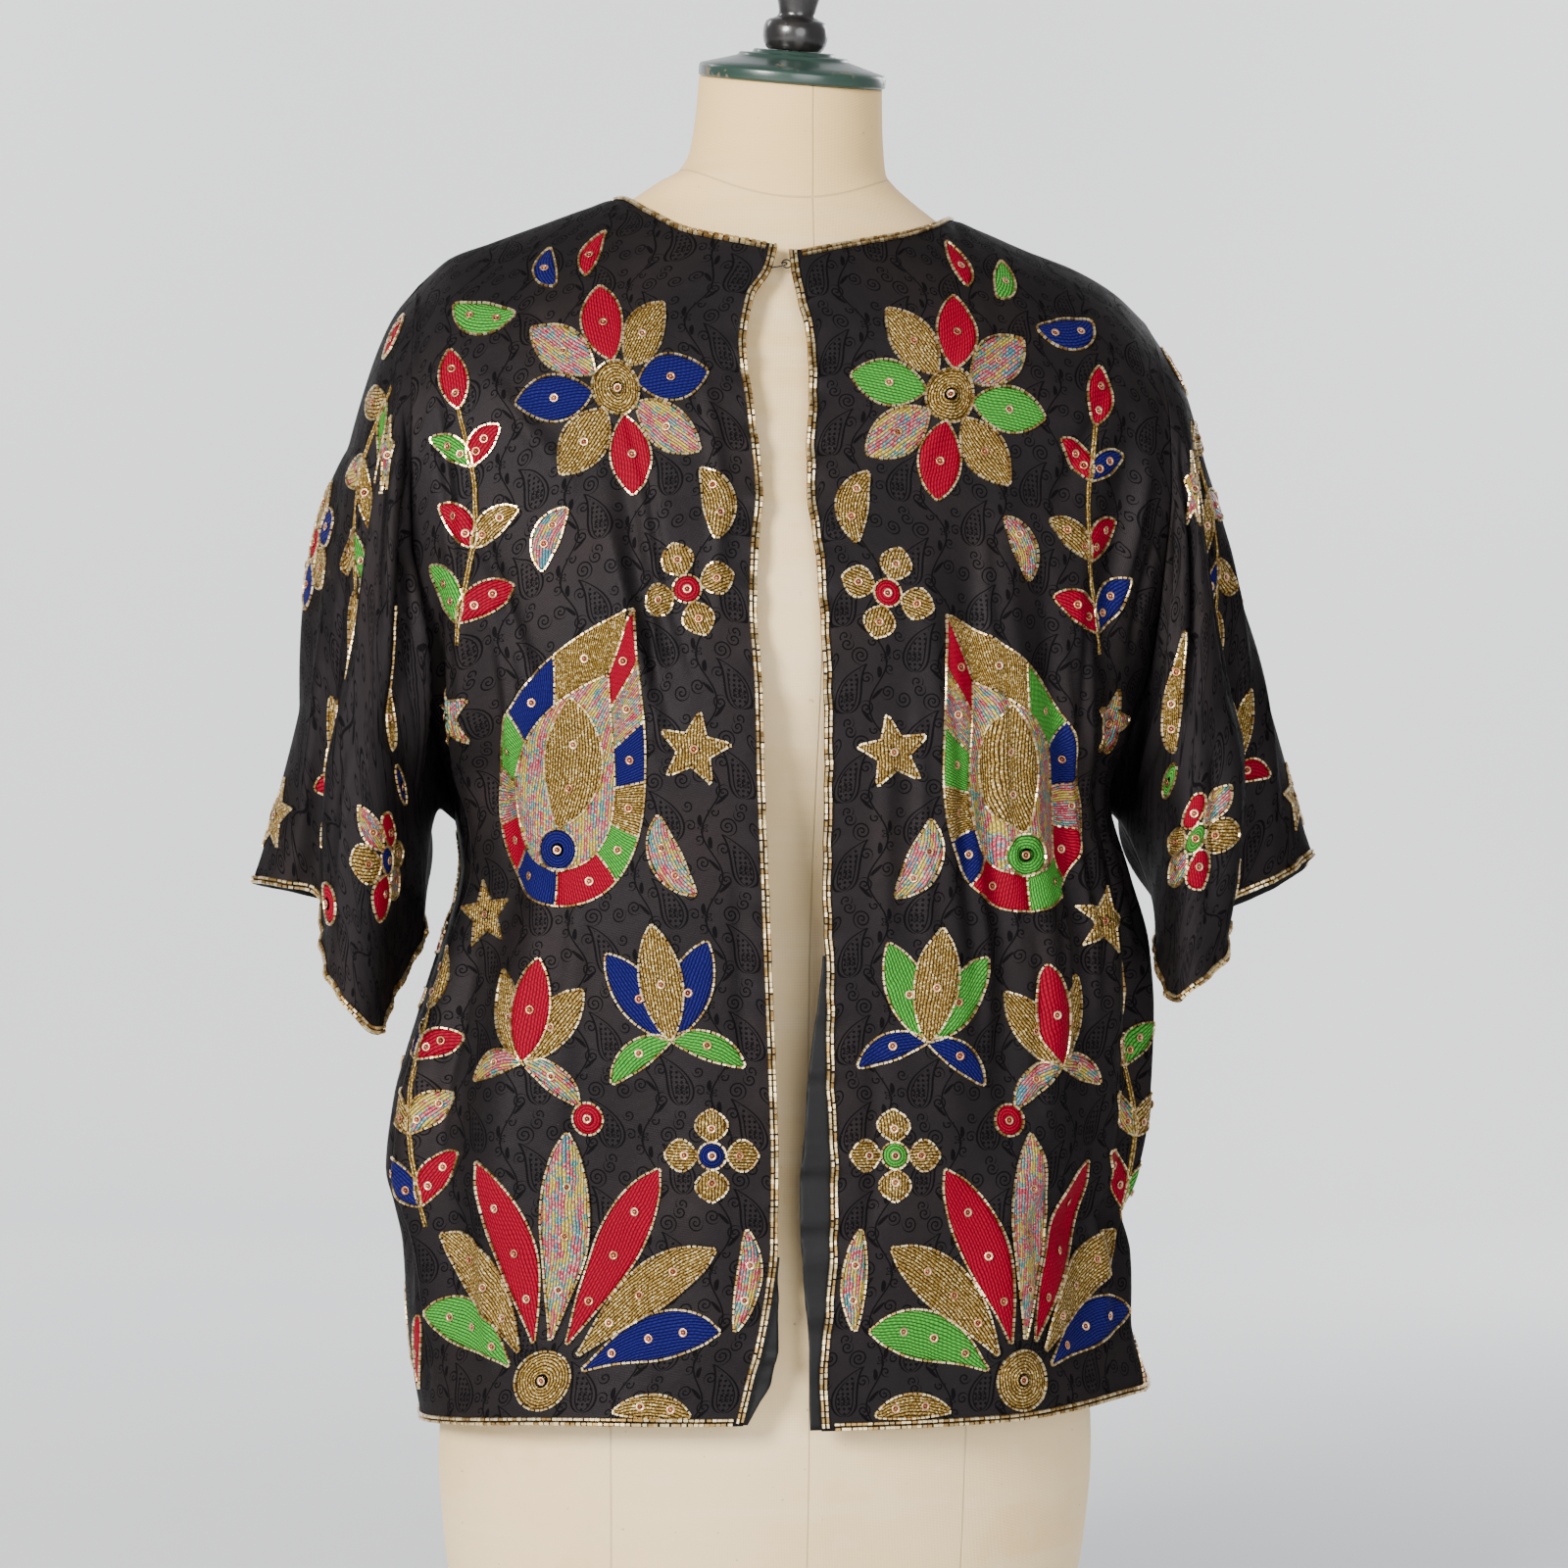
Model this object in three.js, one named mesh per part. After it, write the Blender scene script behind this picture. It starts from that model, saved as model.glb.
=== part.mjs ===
// Hip-length open-front jacket with short dropped-shoulder sleeves, worn by a limbless dress form.
// Millimetres, +Z up. The origin is under the middle of the form's foot. The wearer faces -Y,
// so the wearer's left is +X (side 1) and the wearer's right is -X (side -1).
import * as THREE from "three";

// ---------- driving dimensions ----------
const cloth = 1.4; // silk with its backing, one wall
const seamGap = 0.3; // between two pieces that are sewn together
const underarmRow = 12; // the row of the body grid where the armhole starts
const rows = 28; // rows of the body grid, from the hem to the shoulder seam
const frontColumns = 16; // from the front edge to the side seam
const backColumns = 24; // from side seam to side seam
const sleeveRings = 13; // from the armhole to the cuff
const shoulderY = 5; // the shoulder seam lies a little behind the side seams
const capHeight = 110; // how far below the shoulder the cloth needs to come down to its full depth
const neckRise = 0.5; // the shoulder line goes on up the neck at this slope inside the neck point
const neckPoint = 97; // half the neck opening's width
const sectionPower = 0.85; // under 1 makes a horizontal section flatter in front and behind


const edging = { width: 5.5, thick: 1.8, lift: 0.9, neckLift: 1.5 }; // two rows of bugle beads
const facing = { thick: 1, gap: 0.5, under: 10, rightTop: 275, leftTop: 438 }; // plain strip behind an edge
const hook = { wire: 0.8, eye: 2.6, sink: 2.6, under: 8 };

const form = { footHeight: 60, footRadius: 150, footThick: 20, stemRadius: 34, neckTop: 930, neckTilt: 11.4, neckLean: 2.4 };

// ---------- tables ----------
// A table has named columns and a row for each section. It is read at any place along its first
// column, on a smooth curve that never overshoots its rows.
function table(header, tableRows) {
  const names = header.trim().split(/\s+/);
  const places = tableRows.map((row) => row[0]);
  const columns = {};
  names.forEach((name, k) => {
    const values = tableRows.map((row) => row[k]);
    columns[name] = { values, slopes: slopesOf(places, values) };
  });
  return (name, place) => valueAt(places, columns[name], place);
}

function slopesOf(places, values) {
  const steps = places.slice(1).map((p, k) => (values[k + 1] - values[k]) / (p - places[k]));
  return places.map((_, k) => {
    if (k === 0) return steps[0];
    if (k === steps.length) return steps[k - 1];
    const [before, after] = [steps[k - 1], steps[k]];
    return before * after <= 0 ? 0 : (2 * before * after) / (before + after);
  });
}

function valueAt(places, { values, slopes }, place) {
  const last = places.length - 1;
  if (place <= places[0]) return values[0];
  if (place >= places[last]) return values[last];
  const k = places.findIndex((p) => p > place) - 1;
  const h = places[k + 1] - places[k];
  const t = (place - places[k]) / h;
  const s = 1 - t;
  return (
    values[k] * s * s * (1 + 2 * t) +
    values[k + 1] * t * t * (3 - 2 * t) +
    h * (slopes[k] * t * s * s - slopes[k + 1] * t * t * s)
  );
}

// Horizontal sections of the body cloth. right and left are half-widths, front and back the depths at
// the middle, sideFront and sideBack the depths at the armhole, turn the angle the section has turned
// through where it ends.
const bodySizes = table("z right left front back sideFront sideBack turn", [
  [165, 196, 221, 138, 134, 0, 0, 90],
  [190, 201, 218, 137, 133, 0, 0, 90],
  [230, 206, 203, 136, 131, 0, 0, 90],
  [268, 209, 199, 134, 128, 0, 0, 90],
  [290, 214, 193, 134, 126, 0, 0, 90],
  [310, 219, 204, 133, 124, 0, 0, 90],
  [350, 215, 210, 133, 121, 0, 0, 90],
  [400, 200, 211, 134, 118, 0, 0, 90],
  [440, 188, 208, 136, 116, 0, 0, 90],
  [480, 179, 197, 138, 115, 0, 0, 90],
  [525, 187, 186, 139, 115, 0, 0, 90],
  [560, 198, 196, 139, 115, 42, 38, 80],
  [600, 206, 204, 137, 115, 62, 56, 66],
  [650, 211, 208, 129, 115, 74, 68, 58],
  [700, 213, 211, 118, 114, 78, 73, 55],
  [740, 213, 211, 108, 110, 78, 74, 55],
  [770, 212, 209, 99, 104, 76, 74, 56],
  [800, 209, 208, 90, 95, 72, 72, 58],
  [825, 206, 208, 84, 84, 68, 68, 60],
  [860, 206, 208, 76, 66, 64, 64, 60],
]);

// The two front edges, as X at each height.
const frontEdges = table("z right left", [
  [180, -31, 13],
  [193, -28, 12],
  [214, -23, 11],
  [225, -20, 12],
  [246, -16, 14],
  [280, -12, 16],
  [320, -12, 16],
  [372, -14, 13],
  [425, -17, 12],
  [477, -20, 9],
  [530, -23, 9],
  [583, -25, 8],
  [625, -28, 6],
  [656, -27, 4],
  [688, -24, 0],
  [714, -26, 0],
  [741, -29, 2],
  [768, -32, 2],
  [797, -27, -3],
  [813, -17, -6],
  [827, -13, -7],
]);

// The top edge of each front, as Z at each distance from the middle: neckline, then shoulder seam.
const topEdge = table("x right left back", [
  [0, 825, 825, 851],
  [30, 831, 832, 852],
  [62, 838, 840, 854],
  [82, 850, 848, 856],
  [97, 861, 855, 858.5],
  [112, 856, 850, 853.5],
  [140, 845, 839, 843],
  [168, 834, 829, 832],
  [190, 825, 817, 821],
  [208, 807, 801, 804],
]);

// How far the plain facing reaches past each front edge towards the middle, at each height.
const facingReach = table("z right left", [
  [180, 1, 6],
  [196, 6, 5.5],
  [209, 10, 5],
  [224, 9, 6],
  [246, 5, 10],
  [272, 1.5, 14],
  [298, 1, 16],
  [319, 1, 16],
  [340, 1, 13],
  [362, 1, 10.5],
  [383, 1, 8],
  [425, 1, 2.5],
  [440, 1, 1],
]);

// The hem, as Z at each share of the way from the front edge to the side seam.
const hemLine = table("u right left back", [
  [0, 185, 182, 172],
  [0.35, 183, 184, 173],
  [0.7, 176, 190, 176],
  [1, 169, 190, 180],
]);

// ---------- folds ----------
// A fold is a soft ridge (lift over 0) or trough along a straight line on the flat cloth, from
// (across, up) to (toAcross, toUp). It fades out at both ends.
const foldNames = ["across", "up", "toAcross", "toUp", "width", "lift"];
const foldsOf = (list) => list.map((row) => Object.fromEntries(foldNames.map((name, k) => [name, row[k]])));

function foldLift(folds, across, up) {
  let lift = 0;
  for (const f of folds) {
    const [da, du] = [f.toAcross - f.across, f.toUp - f.up];
    const length2 = da * da + du * du;
    const share = ((across - f.across) * da + (up - f.up) * du) / length2;
    if (share <= 0 || share >= 1) continue;
    const away = ((across - f.across) * du - (up - f.up) * da) / Math.sqrt(length2);
    lift += f.lift * Math.sin(Math.PI * share) ** 0.8 * Math.exp(-((away / f.width) ** 2));
  }
  return lift;
}

const frontFlat = { width: 260, height: 640 }; // the flat cloth of one front, for placing folds
const frontFolds = {
  right: foldsOf([
    [52, 360, 96, 500, 9, -5],
    [120, 20, 140, 330, 20, 5],
    [165, 10, 175, 300, 18, -5],
    [205, 30, 215, 330, 16, 6],
    [236, 60, 232, 300, 12, -5],
    [160, 250, 182, 470, 14, -4],
    [200, 300, 214, 520, 13, 5],
    [226, 280, 240, 460, 10, -6],
    [70, 0, 75, 180, 22, -4],
    [30, 10, 34, 240, 16, 4],
  ]),
  left: foldsOf([
    [60, 150, 66, 470, 10, 4],
    [88, 140, 92, 480, 9, -4],
    [116, 120, 120, 500, 10, 4],
    [142, 130, 146, 470, 9, -4],
    [168, 150, 176, 460, 10, 4.5],
    [196, 60, 204, 420, 12, -6],
    [222, 40, 226, 400, 12, 6],
    [242, 80, 246, 340, 9, -5],
    [150, 10, 165, 200, 18, -5],
    [90, 0, 100, 150, 20, 5],
    [200, 0, 215, 120, 16, 6],
    [190, 400, 222, 560, 14, -5],
  ]),
};
const backFlat = { width: 540, height: 640 };
const backFolds = foldsOf([
  [60, 40, 70, 400, 18, 6],
  [110, 0, 118, 360, 20, -6],
  [165, 20, 172, 330, 22, 6],
  [225, 0, 230, 300, 22, -5],
  [300, 20, 296, 320, 22, 5],
  [355, 0, 350, 380, 20, -6],
  [410, 10, 402, 330, 20, 6],
  [470, 30, 462, 400, 18, -6],
  [100, 380, 190, 560, 22, 4],
  [440, 380, 350, 560, 22, 4],
]);

const sleeveFlat = { width: 470, height: 320 }; // across: round the sleeve from its outer fold by the front
const sleeveFolds = {
  right: foldsOf([
    [-4, 116, -2, 228, 26, 10],
    [100, 20, 150, 150, 10, 5],
    [128, 10, 172, 170, 9, -5],
    [150, 0, 196, 150, 9, 5],
    [60, 40, 84, 200, 12, -4],
    [320, 20, 280, 190, 12, 5],
    [350, 20, 316, 210, 12, -5],
    [400, 60, 380, 240, 14, 4],
    [110, 170, 118, 300, 13, 4],
    [260, 130, 262, 290, 14, 4],
  ]),
  left: foldsOf([
    [96, 20, 150, 160, 10, -5],
    [124, 10, 176, 150, 9, 5],
    [60, 60, 92, 240, 13, -5],
    [150, 0, 200, 140, 9, -4],
    [330, 20, 286, 200, 12, 5],
    [362, 20, 322, 220, 12, -5],
    [410, 60, 390, 250, 14, 4],
    [120, 180, 128, 310, 13, 4],
    [262, 140, 262, 300, 14, 4],
  ]),
};

// ---------- body cloth ----------
const sideName = (side) => (side > 0 ? "left" : "right");
const radians = THREE.MathUtils.degToRad;
const mix = THREE.MathUtils.lerp;

// The share of the way from hem to top edge at each share of the rows: closer rows near the shoulder.
const rowHeight = (v) => 1.25 * v - 0.25 * v ** 4;

// How much of its full depth the cloth has at a height below the shoulder line. The line goes on up
// the neck between the neck points, and the two shoulders meet at their mean height in the middle.
function capShare(x, z) {
  const reach = Math.abs(x);
  const shoulder = topEdge(sideName(x), Math.max(reach, neckPoint));
  const mean = (topEdge("right", neckPoint) + topEdge("left", neckPoint)) / 2;
  const rise = neckRise * Math.max(0, neckPoint - reach);
  const line = mix(mean, shoulder, THREE.MathUtils.smoothstep(reach, 0, neckPoint)) + rise;
  const below = THREE.MathUtils.clamp((line - z) / capHeight, 0, 1);
  return Math.sqrt(1 - (1 - below) ** 2);
}

// The top edge of the back: its own neckline, then the same shoulder seam as the front.
function backTop(name, x) {
  const past = Math.max(x, neckPoint);
  const gain = topEdge(name, past) - topEdge("back", past);
  return topEdge("back", x) + gain * THREE.MathUtils.smoothstep(x, 0, neckPoint);
}

// A section from its middle (share 0) to the armhole or side seam (share 1).
function sectionShare(share, turn) {
  const angle = radians(turn);
  const flatter = (a) => Math.max(Math.cos(a), 0) ** sectionPower;
  const end = flatter(angle);
  return {
    across: Math.sin(share * angle) / Math.sin(angle),
    depth: (flatter(share * angle) - end) / (1 - end),
  };
}

function frontPoint(side, u, v) {
  const name = sideName(side);
  const topX = mix(frontEdges(name, 825) * side, bodySizes(name, 825), sectionShare(u, 60).across);
  const z = mix(hemLine(name, u), topEdge(name, topX), rowHeight(v));
  const section = sectionShare(u, bodySizes("turn", z));
  const x = mix(frontEdges(name, z), side * bodySizes(name, z), section.across);
  const depth = mix(bodySizes("sideFront", z), bodySizes("front", z), section.depth);
  const cap = capShare(x, z);
  const back = shoulderY * (1 - cap);
  return new THREE.Vector3(x, back - depth * cap - seamGap / 2, z);
}

// The back cloth, u from -1 at the wearer's right to 1 at the left. It meets the fronts at its ends.
function backPoint(u, v) {
  const side = u < 0 ? -1 : 1;
  const share = Math.abs(u);
  const name = sideName(side);
  const blend = THREE.MathUtils.smoothstep(share, 0.45, 1);
  const topX = bodySizes(name, 825) * sectionShare(share, 60).across;
  const hem = mix(hemLine("back", share), hemLine(name, 1), blend);
  const z = mix(hem, backTop(name, topX), rowHeight(v));
  const section = sectionShare(share, bodySizes("turn", z));
  const x = side * bodySizes(name, z) * section.across;
  const depth = mix(bodySizes("sideBack", z), bodySizes("back", z), section.depth);
  const cap = capShare(x, z);
  const back = shoulderY * (1 - cap);
  return new THREE.Vector3(x, back + depth * cap + seamGap / 2, z);
}

// ---------- walls ----------
// A grid is { points, normals }, each [column][row]. Its columns times its rows face outwards when
// outward is 1.
function gridOf(columns, gridRows, place, outward, around = false) {
  const points = Array.from({ length: columns + 1 }, (_, i) =>
    Array.from({ length: gridRows + 1 }, (_, j) => place(i / columns, j / gridRows, i, j)),
  );
  return { points, normals: normalsOf(points, outward, around), outward, around };
}

function normalsOf(points, outward, around) {
  const lastColumn = points.length - 1;
  const lastRow = points[0].length - 1;
  return points.map((column, i) =>
    column.map((_, j) => {
      const before = around && i === 0 ? lastColumn - 1 : Math.max(i - 1, 0);
      const after = around && i === lastColumn ? 1 : Math.min(i + 1, lastColumn);
      const across = points[after][j].clone().sub(points[before][j]);
      const up = column[Math.min(j + 1, lastRow)].clone().sub(column[Math.max(j - 1, 0)]);
      return across.cross(up).multiplyScalar(outward).normalize();
    }),
  );
}

// The grid with its folds raised along its normals. upShare gives how far up the cloth a row is.
function folded(grid, folds, flat, upShare) {
  const lastColumn = grid.points.length - 1;
  const lastRow = grid.points[0].length - 1;
  const turns = grid.around ? [-1, 0, 1] : [0];
  const points = grid.points.map((column, i) =>
    column.map((p, j) => {
      const across = (i / lastColumn) * flat.width;
      const up = upShare(j / lastRow) * flat.height;
      const lift = turns.reduce((sum, turn) => sum + foldLift(folds, across + turn * flat.width, up), 0);
      return p.clone().addScaledVector(grid.normals[i][j], lift);
    }),
  );
  return { ...grid, points, normals: normalsOf(points, grid.outward, grid.around) };
}

// Keeps the faces of a seam flat: the wall's normal there has no part along the axis across the seam.
function flattenNormal(normal, axis) {
  normal[axis] = 0;
  normal.normalize();
}

// A closed wall between two offsets of a grid along its normals.
function wallGeometry(grid, outside, inside) {
  const [columns, gridRows] = [grid.points.length, grid.points[0].length];
  const usedColumns = grid.around ? columns - 1 : columns;
  const positions = [];
  for (const offset of [outside, inside])
    for (let i = 0; i < usedColumns; i++)
      for (let j = 0; j < gridRows; j++)
        positions.push(...grid.points[i][j].clone().addScaledVector(grid.normals[i][j], offset).toArray());
  const layer = usedColumns * gridRows;
  const at = (i, j, side) => (i % usedColumns) * gridRows + j + side * layer;
  const faces = [];
  const quad = (a, b, c, d) => (grid.outward > 0 ? faces.push(a, b, c, a, c, d) : faces.push(a, c, b, a, d, c));
  for (let i = 0; i < columns - 1; i++)
    for (let j = 0; j < gridRows - 1; j++) {
      quad(at(i, j, 0), at(i + 1, j, 0), at(i + 1, j + 1, 0), at(i, j + 1, 0));
      quad(at(i, j + 1, 1), at(i + 1, j + 1, 1), at(i + 1, j, 1), at(i, j, 1));
    }
  for (let i = 0; i < columns - 1; i++) {
    const top = gridRows - 1;
    quad(at(i, 0, 1), at(i + 1, 0, 1), at(i + 1, 0, 0), at(i, 0, 0));
    quad(at(i, top, 0), at(i + 1, top, 0), at(i + 1, top, 1), at(i, top, 1));
  }
  if (!grid.around)
    for (let j = 0; j < gridRows - 1; j++) {
      const end = columns - 1;
      quad(at(0, j, 0), at(0, j + 1, 0), at(0, j + 1, 1), at(0, j, 1));
      quad(at(end, j, 1), at(end, j + 1, 1), at(end, j + 1, 0), at(end, j, 0));
    }
  const geometry = new THREE.BufferGeometry();
  geometry.setAttribute("position", new THREE.Float32BufferAttribute(positions, 3));
  geometry.setIndex(faces);
  geometry.computeVertexNormals();
  return geometry;
}

// ---------- sleeves ----------
// Rings of a sleeve after the armhole, each a closed row of points from the outer fold (angle 0) down
// the front, past the underarm seam (180) and up the back. out is the distance from the middle.
const ringAngles = [0, 30, 55, 80, 100, 120, 140, 160, 180, 210, 240, 270, 300, 330];
const sleeveTables = {
  right: [
    {
      along: 0.14,
      out: [223, 223, 222, 220, 218, 213, 206, 199, 191, 199, 210, 217, 221, 223],
      y: [4, -42, -66, -80, -83, -80, -66, -36, 0, 34, 60, 74, 62, 36],
      z: [788, 772, 745, 705, 668, 628, 588, 546, 513, 548, 600, 668, 732, 776],
    },
    {
      along: 0.4,
      out: [249, 246, 241, 236, 229, 221, 212, 202, 195, 207, 222, 235, 245, 249],
      y: [2, -42, -66, -82, -87, -84, -70, -38, 0, 36, 64, 78, 66, 38],
      z: [702, 690, 668, 636, 608, 580, 553, 524, 505, 530, 570, 614, 660, 690],
    },
    {
      along: 0.7,
      out: [269, 262, 252, 250, 246, 236, 223, 211, 198, 206, 223, 243, 260, 269],
      y: [0, -32, -42, -70, -88, -95, -87, -50, -4, 30, 60, 76, 58, 28],
      z: [575, 568, 556, 540, 526, 512, 500, 488, 480, 492, 506, 522, 546, 568],
    },
    {
      along: 1,
      out: [294, 277, 259, 257, 253, 240, 226, 218, 200, 205, 224, 250, 275, 292],
      y: [0, -22, -22, -58, -88, -97, -86, -50, -10, 25, 60, 78, 55, 25],
      z: [470, 468, 463, 437, 419, 401, 391, 408, 440, 456, 458, 458, 464, 468],
    },
  ],
  left: [
    {
      along: 0.14,
      out: [221, 222, 221, 219, 216, 212, 206, 198, 191, 199, 210, 218, 221, 222],
      y: [4, -42, -66, -80, -84, -81, -67, -36, 0, 34, 60, 74, 62, 36],
      z: [781, 764, 737, 698, 662, 624, 586, 548, 518, 550, 600, 664, 726, 768],
    },
    {
      along: 0.4,
      out: [248, 247, 241, 233, 223, 214, 206, 202, 199, 208, 222, 236, 246, 249],
      y: [2, -40, -66, -84, -92, -92, -78, -42, 0, 36, 64, 78, 66, 38],
      z: [697, 684, 662, 632, 606, 580, 556, 530, 512, 532, 570, 612, 656, 686],
    },
    {
      along: 0.7,
      out: [285, 274, 258, 253, 241, 226, 214, 211, 211, 218, 236, 258, 278, 286],
      y: [0, -34, -42, -70, -90, -98, -90, -50, -4, 32, 62, 78, 60, 28],
      z: [588, 580, 566, 548, 534, 520, 506, 496, 489, 500, 514, 530, 556, 580],
    },
    {
      along: 1,
      out: [314, 289, 261, 250, 243, 223, 213, 212, 222, 230, 246, 272, 298, 313],
      y: [0, -26, -27, -62, -85, -96, -88, -50, -12, 24, 60, 78, 56, 26],
      z: [492, 479, 466, 450, 434, 419, 412, 432, 452, 462, 458, 456, 468, 482],
    },
  ],
};

// A closed curve through a ring's points, read at any angle.
function ringValue(values, angle) {
  const count = ringAngles.length;
  const turned = ((angle % 360) + 360) % 360;
  let k = ringAngles.findIndex((a) => a > turned) - 1;
  if (k < -1 || k === -2) k = count - 1;
  if (turned >= ringAngles[count - 1]) k = count - 1;
  const angleOf = (i) => ringAngles[((i % count) + count) % count] + 360 * Math.floor(i / count);
  const valueOf = (i) => values[((i % count) + count) % count];
  const slope = (i) => (valueOf(i + 1) - valueOf(i - 1)) / (angleOf(i + 1) - angleOf(i - 1));
  const h = angleOf(k + 1) - angleOf(k);
  const t = (turned - angleOf(k)) / h;
  const s = 1 - t;
  return (
    valueOf(k) * s * s * (1 + 2 * t) +
    valueOf(k + 1) * t * t * (3 - 2 * t) +
    h * (slope(k) * t * s * s - slope(k + 1) * t * t * s)
  );
}

// The seam of the armhole, in the order of a sleeve ring, taken from the edges of the body cloths and
// moved on from them by the gap of the seam, in the plane of the cloth.
function armholeOf(front, back, side) {
  const seam = [];
  const frontEdge = front.points.length - 1;
  const backEdge = side > 0 ? back.points.length - 1 : 0;
  const take = (grid, column, row) =>
    seam.push({ point: grid.points[column][row].clone(), normal: grid.normals[column][row].clone() });
  for (let row = rows; row > underarmRow; row--) take(front, frontEdge, row);
  for (let row = underarmRow; row < rows; row++) take(back, backEdge, row);
  seam[0].point.y = shoulderY;
  seam[rows - underarmRow].point.y = 0;
  const count = seam.length;
  const moves = seam.map(({ normal }, k) => {
    const along = seam[(k + 1) % count].point.clone().sub(seam[(k + count - 1) % count].point);
    return along.cross(normal).setLength(-side * seamGap);
  });
  moves.forEach((move, k) => seam[k].point.add(move));
  return seam;
}

function sleeveGrid(side, seam) {
  const count = seam.length;
  const rings = sleeveTables[sideName(side)];
  const places = [0, ...rings.map((ring) => ring.along)];
  const angleOf = (i) => (360 * i) / count;
  const lines = Array.from({ length: count + 1 }, (_, i) => {
    const angle = angleOf(i % count);
    const knots = [
      seam[i % count].point.toArray(),
      ...rings.map((ring) => [
        side * ringValue(ring.out, angle),
        ringValue(ring.y, angle),
        ringValue(ring.z, angle),
      ]),
    ];
    return table(
      "along x y z",
      knots.map((knot, k) => [places[k], ...knot]),
    );
  });
  const place = (_, t, i) => new THREE.Vector3(lines[i]("x", t), lines[i]("y", t), lines[i]("z", t));
  const smooth = gridOf(count, sleeveRings, place, side, true);
  const grid = folded(smooth, sleeveFolds[sideName(side)], sleeveFlat, (t) => t);
  for (let i = 0; i <= count; i++) grid.normals[i][0].copy(seam[i % count].normal);
  return grid;
}

// ---------- strips on the cloth ----------
// A strip that lies along one edge of a grid, made from the grid's own points. edge is "start" (first
// column), "foot" (first row) or "top" (last row). near and far are distances in from the edge, under
// zero for a strip that reaches out past it. from and to are places along the edge, in grid steps.
function stripGrid(grid, edge, near, far, from = 0, to = Infinity) {
  const lastColumn = grid.points.length - 1;
  const lastRow = grid.points[0].length - 1;
  const end = Math.min(to, edge === "start" ? lastRow : lastColumn);
  const pick = (list, k, line) => {
    if (edge === "start") return list[line][k];
    return edge === "foot" ? list[k][line] : list[k][lastRow - line];
  };
  const read = (list, place, line) => {
    const k = Math.min(Math.floor(place), end);
    const share = place - k;
    return share > 0 ? pick(list, k, line).clone().lerp(pick(list, k + 1, line), share) : pick(list, k, line).clone();
  };
  const places = [from];
  for (let k = Math.floor(from) + 1; k < end; k++) places.push(k);
  places.push(end);
  const points = [];
  const normals = [];
  for (const place of places) {
    const [first, second] = [read(grid.points, place, 0), read(grid.points, place, 1)];
    const step = second.distanceTo(first);
    const inward = second.clone().sub(first).normalize();
    const normal = read(grid.normals, place, 0).normalize();
    const reach = (distance) => {
      const length = typeof distance === "number" ? distance : distance(first);
      return first.clone().addScaledVector(inward, Math.min(length, step));
    };
    points.push([reach(near), reach(far)]);
    normals.push([normal.clone(), read(grid.normals, place, 1).normalize().lerp(normal, 0.5).normalize()]);
  }
  const turned = edge === "foot" ? grid.outward : -grid.outward;
  return { points, normals, outward: turned, around: grid.around && edge !== "start" };
}

// ---------- the dress form ----------
const formSizes = table("z right left front back power", [
  [60, 176, 176, 112, 113, 2],
  [100, 183, 183, 116, 118, 2],
  [150, 187, 187, 118, 122, 2],
  [200, 184, 184, 116, 123, 2],
  [260, 170, 170, 110, 117, 2],
  [330, 141, 141, 98, 103, 2],
  [390, 122, 122, 91, 91, 2],
  [430, 120, 120, 91, 88, 2],
  [480, 127, 127, 97, 90, 2],
  [530, 137, 137, 109, 94, 2],
  [580, 145, 145, 122, 98, 2],
  [610, 148, 148, 127, 101, 2],
  [650, 151, 151, 121, 105, 2],
  [700, 158, 158, 108, 105, 2],
  [740, 168, 168, 97, 99, 2],
  [770, 179, 178, 88, 91, 2],
  [800, 189, 187, 78, 79, 1.75],
  [815, 184, 179, 73, 71, 1.6],
  [824, 174, 164, 70, 66, 1.5],
  [831, 159, 147, 68, 62, 1.5],
  [838, 142, 129, 66, 58, 1.5],
  [844, 127, 111, 65, 55, 1.55],
  [850, 109, 94, 63, 52, 1.6],
  [857, 93.5, 83, 60.5, 49, 1.7],
  [864, 83, 73, 60, 47, 1.8],
  [871, 73, 64, 60, 45, 1.9],
  [878, 61, 58, 59, 44, 2],
  [890, 54.5, 56.5, 58, 44, 2],
  [908, 51.5, 55.5, 56, 45, 2],
  [930, 49.5, 55, 56, 46, 2],
]);
const formHeights = [
  60, 100, 150, 200, 260, 330, 390, 430, 480, 530, 580, 610, 650, 700, 740, 770, 800, 815, 824, 831, 838, 844,
  850, 857, 864, 871, 878, 890, 908, 930,
];
const formSides = 32;
const neckCentre = { x: 2.75, y: -5 };

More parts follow.
